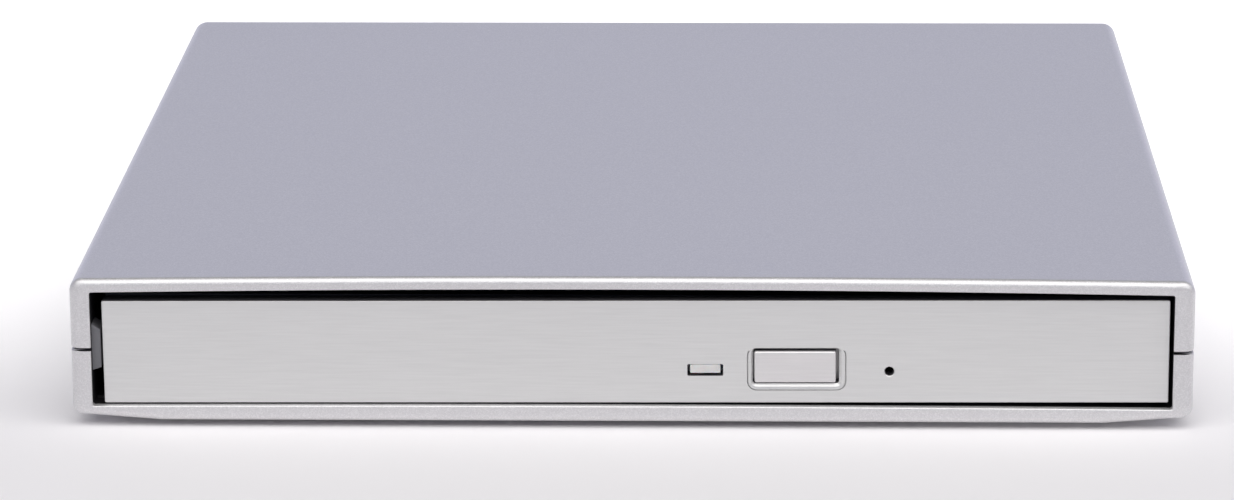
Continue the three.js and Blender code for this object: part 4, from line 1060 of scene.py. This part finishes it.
def along_path(node, make):
    """A round bar in place of a CAD node that lies along the pickup's path."""
    ahead = Vector((-1, -1, 0)).normalized()
    aside = Vector((1, -1, 0)).normalized()
    points = [vertex.co for vertex in bpy.data.objects[node].data.vertices]
    near, far = min(p.dot(ahead) for p in points), max(p.dot(ahead) for p in points)
    sides = [p.dot(aside) for p in points]
    low, high = min(p.z for p in points), max(p.z for p in points)
    middle = aside * (min(sides) + max(sides)) / 2 + Vector((0, 0, (low + high) / 2))
    mesh = make((far - near) / MM, (high - low) / 2 / MM)
    turn = Vector((0, 0, 1)).rotation_difference(ahead).to_matrix().to_4x4()
    return moved(mesh, Matrix.Translation(middle + ahead * near) @ turn)


def rod_form(length, radius, inset=0.2, ease=0.2):
    """A plain rod with the edge of each end taken off."""
    rim = radius - inset
    profile = [(0, 0), (rim, 0), (radius, ease), (radius, length - ease), (rim, length), (0, length)]
    return turned_mesh(profile, 40)


def thread_form(length, radius):
    """A lead screw: plain journals, and a raised thread between them."""
    core = radius - 0.24
    start, wide, pitch = 1.7, 0.9, 1.1
    span = length - 2 * start
    thread = wound("brass", span / pitch, core - 0.02, span, 0.26, 18, 6)
    collars = []
    for foot in (0.5, length - 0.5 - wide):
        section = [(0, foot), (radius, foot), (radius, foot + wide), (0, foot + wide)]
        collars.append(turned_mesh(section, 40))
    return together(rod_form(length, core, 0.1, 0.15), lifted(thread, 0, 0, start), *collars)


def pickup():
    """The rods, the lead screw, the sled and the lens that rides on it."""
    for k in (1, 2):
        node = "guide_rod_%d" % k
        mesh = along_path(node, rod_form)
        stand_for(finished("polished_rod_%d" % k, mesh, "bright_steel"), "tray", node)
    mesh = along_path("lead_screw", thread_form)
    stand_for(finished("threaded_rod", mesh, "brass"), "lead_screw", "lead_screw")
    eased("sled_casting", "pickup_sled", "sled_metal", "sled", 0.25, segments=3)
    eased("lens_cradle", "lens_holder", "black_plastic", "lens", 0.22, segments=3)
    low, high = spot("objective_lens")
    radius, foot = (high[0] - low[0]) / 2, low[2]
    rise, crown, steps = high[2] - foot, radius - 0.3, 8
    profile = [(0, foot), (radius, foot), (radius, foot + 0.3 * rise)]
    profile.append((radius - 0.16, foot + 0.36 * rise))
    for k in range(steps + 1):
        angle = QUARTER * k / steps
        profile.append((crown * math.cos(angle), foot + rise * (0.36 + 0.64 * math.sin(angle))))
    mesh = turned_mesh(profile, 64, between(low, high)[:2])
    stand_for(finished("lens_dome", mesh, "lens"), "lens", "objective_lens")


def turntable():
    """The turntable with its ribbed dish, and the end of the steel shaft in it."""
    top = spot("spindle_rotor")[1][2]
    bowl = [(0, top - 0.3), (3.8, top - 0.3), (4.05, top + 0.3), (0, top + 0.3)]
    body = softened(cad_form("spindle_rotor"), 0.14, 36)
    body = carved(body, [turned_mesh(bowl, 72, HUB_PLACE)])
    rib = box_mesh((1.6, -0.2, top - 0.5), (4.1, 0.2, top - 0.06), 0.06)
    ribs = grown("ring", "black_plastic", rib, Count=9, Start=0.35)
    lip = top - 0.06
    collar = [(0, top - 0.6), (1.8, top - 0.6), (1.8, top - 0.12), (1.7, lip), (0, lip)]
    middle = [lifted(mesh, *HUB_PLACE, 0) for mesh in (ribs, turned_mesh(collar, 48))]
    body = carved(body, middle, "UNION")
    stand_for(finished("turntable", body, "black_plastic", 30), "rotor", "spindle_rotor")
    shaft = [(0, top - 0.5), (1.0, top - 0.5), (1.0, top - 0.1)]
    shaft += [(0.9, top), (0.35, top), (0, top - 0.12)]
    tip = finished("shaft_end", turned_mesh(shaft, 48, HUB_PLACE), "bright_steel", 30)
    stand_for(tip, "rotor", "spindle_rotor")


def grip_ring():
    """The rubber ring under the disc, with five fine grooves round it."""
    low, high = spot("disc_ring")
    width, grooves = 3.2, 5
    outer = (high[0] - low[0]) / 2
    inner = outer - width
    foot, top = low[2], high[2]
    profile = [(inner, foot), (outer, foot), (outer, top - 0.1), (outer - 0.1, top)]
    for k in range(1, grooves + 1):
        radius = outer - width * k / (grooves + 1)
        profile += [(radius + 0.12, top), (radius, top - 0.07), (radius - 0.12, top)]
    profile += [(inner + 0.1, top), (inner, top - 0.1)]
    mesh = turned_mesh(profile, 144, HUB_PLACE)
    stand_for(finished("grip_ring", mesh, "ring_rubber", 60), "rotor", "disc_ring")


def claws():
    for k in (1, 2, 3):
        eased("claw_%d_form" % k, "hub_claw_%d" % k, "black_plastic", "claw_%d" % k, 0.12)


def lock_and_eject():
    """The latch, the push rod and the wound spring that stretches between tray and rod."""
    eased("latch_arm", "latch_lever", "black_plastic", "latch", 0.15)
    eased("push_rod", "eject_plunger", "black_plastic", "eject_plunger", 0.2)
    low, high = spot("eject_spring")
    wire = 0.3
    radius, length = (high[0] - low[0]) / 2, high[1] - low[1]
    coil = wound("bright_steel", 9, radius - wire, length - 2 * wire, wire, 28, 10)
    x, _, z = between(low, high)
    coil = lifted(moved(coil, Matrix.Rotation(QUARTER, 4, "X")), x, high[1] - wire, z)
    spring = finished("push_spring", coil, "bright_steel")
    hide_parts("eject_spring")
    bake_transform(spring)


# Flat cable

CABLE_GAUGE = 0.12
CABLE_ROOM = 0.07
CABLE_FIXED_Y = 14.2


def strip_mesh(left, right, path, thick):
    """A flat strip that follows (y, z) points."""
    points, count = [], len(path)
    for k, (y, z) in enumerate(path):
        before, after = path[max(k - 1, 0)], path[min(k + 1, count - 1)]
        way = Vector((after[0] - before[0], after[1] - before[1])).normalized()
        side = Vector((-way.y, way.x)) * thick / 2
        for x in (left, right):
            for sign in (1, -1):
                points.append((x, y + sign * side.x, z + sign * side.y))
    faces = []
    for a in range(0, 4 * (count - 1), 4):
        b = a + 4
        faces += [(a, a + 2, b + 2, b), (a + 1, b + 1, b + 3, a + 3)]
        faces += [(a, b, b + 1, a + 1), (a + 2, a + 3, b + 3, b + 2)]
    end = 4 * (count - 1)
    faces += [(0, 1, 3, 2), (end, end + 2, end + 3, end + 1)]
    return faces_of(points, faces, "strip")


def ribbon():
    """The flat cable in two runs: one lies in the pan, the other hangs from the tray."""
    low, high = spot("tray_ribbon")
    rear = high[1]
    lower, upper = low[2] + CABLE_ROOM, high[2] - CABLE_ROOM
    bend = (upper - lower) / 2
    turn_y = low[1] + bend + CABLE_ROOM
    under = [(rear - k * (rear - turn_y) / 60, lower) for k in range(61)]
    for k in range(1, 13):
        angle = math.pi * k / 12
        under.append((turn_y - bend * math.sin(angle), lower + bend * (1 - math.cos(angle))))
    over = [(turn_y + k * (CABLE_FIXED_Y - turn_y) / 45, upper) for k in range(46)]
    runs = (
        ("cable_lower", under, rear, 2 * turn_y - rear),
        ("cable_upper", over, 2 * turn_y - CABLE_FIXED_Y, CABLE_FIXED_Y),
    )
    for name, path, start, end in runs:
        piece = finished(name, strip_mesh(low[0], high[0], path, CABLE_GAUGE), "ribbon")
        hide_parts("tray_ribbon")
        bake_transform(piece)


# The studio

FLOOR_WHITE = 0.85
GLOW_START_Y = -0.072
GLOW_END_Y = 0.06
BACK_GLOW = 0.5
SKY = (
    (0.0, (1.12, 1.14, 1.2)),
    (0.26, (0.9, 0.94, 1.46)),
    (0.45, (0.25, 0.25, 0.26)),
    (0.7, (0.05, 0.05, 0.05)),
    (1.0, (0.1, 0.1, 0.1)),
)
SIDE_DIM = 0.22
FRONT_DIM = 0.25
SOFTBOX_PLACE = (0.2, -1.2, 2.2)
SOFTBOX_SIZE = (6.4, 2.4)
SOFTBOX_POWER = 117
CAMERA_PLACE = (14.496, -630.349, 178.615)
CAMERA_LENS = 142.1


def floor_material():
    """Pale matt floor that goes over to white behind the drive, with painted light beside the drive
    and towards the right.
    """
    material = bpy.data.materials.new("pale_floor")
    material.use_nodes = True
    tree = material.node_tree
    tree.nodes.clear()
    colour = (FLOOR_WHITE, FLOOR_WHITE * 0.985, FLOOR_WHITE, 1)
    matt = put(tree, "ShaderNodeBsdfDiffuse", {"Color": colour}).outputs[0]
    rays = put(tree, "ShaderNodeLightPath").outputs
    seen = rays["Is Camera Ray"]
    for kind in ("Is Glossy Ray", "Is Transmission Ray"):
        seen = result(tree, "MAXIMUM", seen, rays[kind])
    parts = put(tree, "ShaderNodeSeparateXYZ", {"Vector": mapped(tree)}).outputs
    # Painted light: the glow also reaches the floor beside the drive, and more to the right.
    aside = result(tree, "MULTIPLY", result(tree, "ABSOLUTE", parts["X"]), 0.25)
    slant = result(tree, "MULTIPLY", parts["X"], 0.05)
    place = result(tree, "ADD", parts["Y"], result(tree, "ADD", aside, slant))
    span = {"Value": place, "From Min": GLOW_START_Y, "From Max": GLOW_END_Y, "To Max": BACK_GLOW}
    back = put(tree, "ShaderNodeMapRange", span, interpolation_type="SMOOTHSTEP")
    lift = result(tree, "MULTIPLY", seen, back.outputs["Result"])
    white = put(tree, "ShaderNodeEmission", {"Strength": lift}).outputs[0]
    both = put(tree, "ShaderNodeAddShader", {0: matt, 1: white}).outputs[0]
    put(tree, "ShaderNodeOutputMaterial", {"Surface": both})
    return material


def floor():
    """The surface that the drive stands on, far wider than the view."""
    reach = 6.0
    corners = [(-reach, -reach, 0), (reach, -reach, 0), (reach, reach, 0), (-reach, reach, 0)]
    mesh = bpy.data.meshes.new("floor")
    mesh.from_pydata(corners, [], [(0, 1, 2, 3)])
    mesh.materials.append(floor_material())
    placed("floor", mesh)


def surround():
    """A soft sky, bright at its foot behind the drive, and dim above, aside and in front."""
    world = bpy.data.worlds.new("studio")
    bpy.context.scene.world = world
    world.use_nodes = True
    tree = world.node_tree
    tree.nodes.clear()
    way = put(tree, "ShaderNodeTexCoord").outputs["Generated"]
    parts = put(tree, "ShaderNodeSeparateXYZ", {"Vector": way}).outputs
    colour = ramp(tree, parts["Z"], [(height, (*light, 1)) for height, light in SKY])
    aside = result(tree, "MULTIPLY", parts["X"], parts["X"])
    side = put(tree, "ShaderNodeMapRange", {"Value": aside, "To Min": 1.03, "To Max": SIDE_DIM})
    span = {"Value": parts["Y"], "From Min": -0.5, "From Max": 0.1, "To Min": FRONT_DIM}
    front = put(tree, "ShaderNodeMapRange", span)
    strength = result(tree, "MULTIPLY", side.outputs["Result"], front.outputs["Result"])
    sky = put(tree, "ShaderNodeBackground", {"Color": colour, "Strength": strength}).outputs[0]
    put(tree, "ShaderNodeOutputWorld", {"Surface": sky})


def softbox():
    """One broad lamp in front of the drive and high above it."""
    lamp = bpy.data.lights.new("front_softbox", "AREA")
    lamp.shape = "RECTANGLE"
    lamp.size, lamp.size_y = SOFTBOX_SIZE
    lamp.energy = SOFTBOX_POWER
    lamp.color = (1.0, 0.99, 0.985)
    place = Vector(SOFTBOX_PLACE)
    turn = (-place).to_track_quat("-Z", "Y").to_matrix().to_4x4()
    placed("front_softbox", lamp).matrix_world = Matrix.Translation(place) @ turn


def photo_camera():
    """The photo's own camera, as fitted to the edges of case and bezel."""
    data = bpy.data.cameras.new("photo_camera")
    data.sensor_fit = "HORIZONTAL"
    data.sensor_width = 36
    data.lens = CAMERA_LENS
    data.clip_start = 0.02
    data.clip_end = 30
    right = (0.99961428, 0.02736988, -0.00471028)
    up = (-0.00280988, 0.26840529, 0.96330198)
    ahead = (-0.02762973, 0.96291718, -0.26837866)
    turn = Matrix((right, up, [-value for value in ahead])).transposed().to_4x4()
    camera = placed("photo_camera", data)
    camera.matrix_world = Matrix.Translation(in_metres(*CAMERA_PLACE)) @ turn
    bpy.context.scene.camera = camera


def dress_nodes():
    """Gives each CAD node that still shows the finish of its slot."""
    for row in frame["record"]["subparts"]:
        node = bpy.data.objects.get(row["node"])
        if node is None or node.type != "MESH":
            continue
        if not node.material_slots:
            node.data.materials.append(None)
        for place in node.material_slots:
            place.material = FINISHES[row["material_slot"]]


bpy.context.scene.view_settings.view_transform = "Standard"
photo_camera()
floor()
surround()
softbox()
dress_nodes()
top_shell()
bottom_shell()
side_pad()
bezel()
light_window()
eject_button()
feet()
screws()
cable_inlet()
drive_frame()
tray_form()
under_tray()
pickup()
turntable()
grip_ring()
claws()
lock_and_eject()
ribbon()
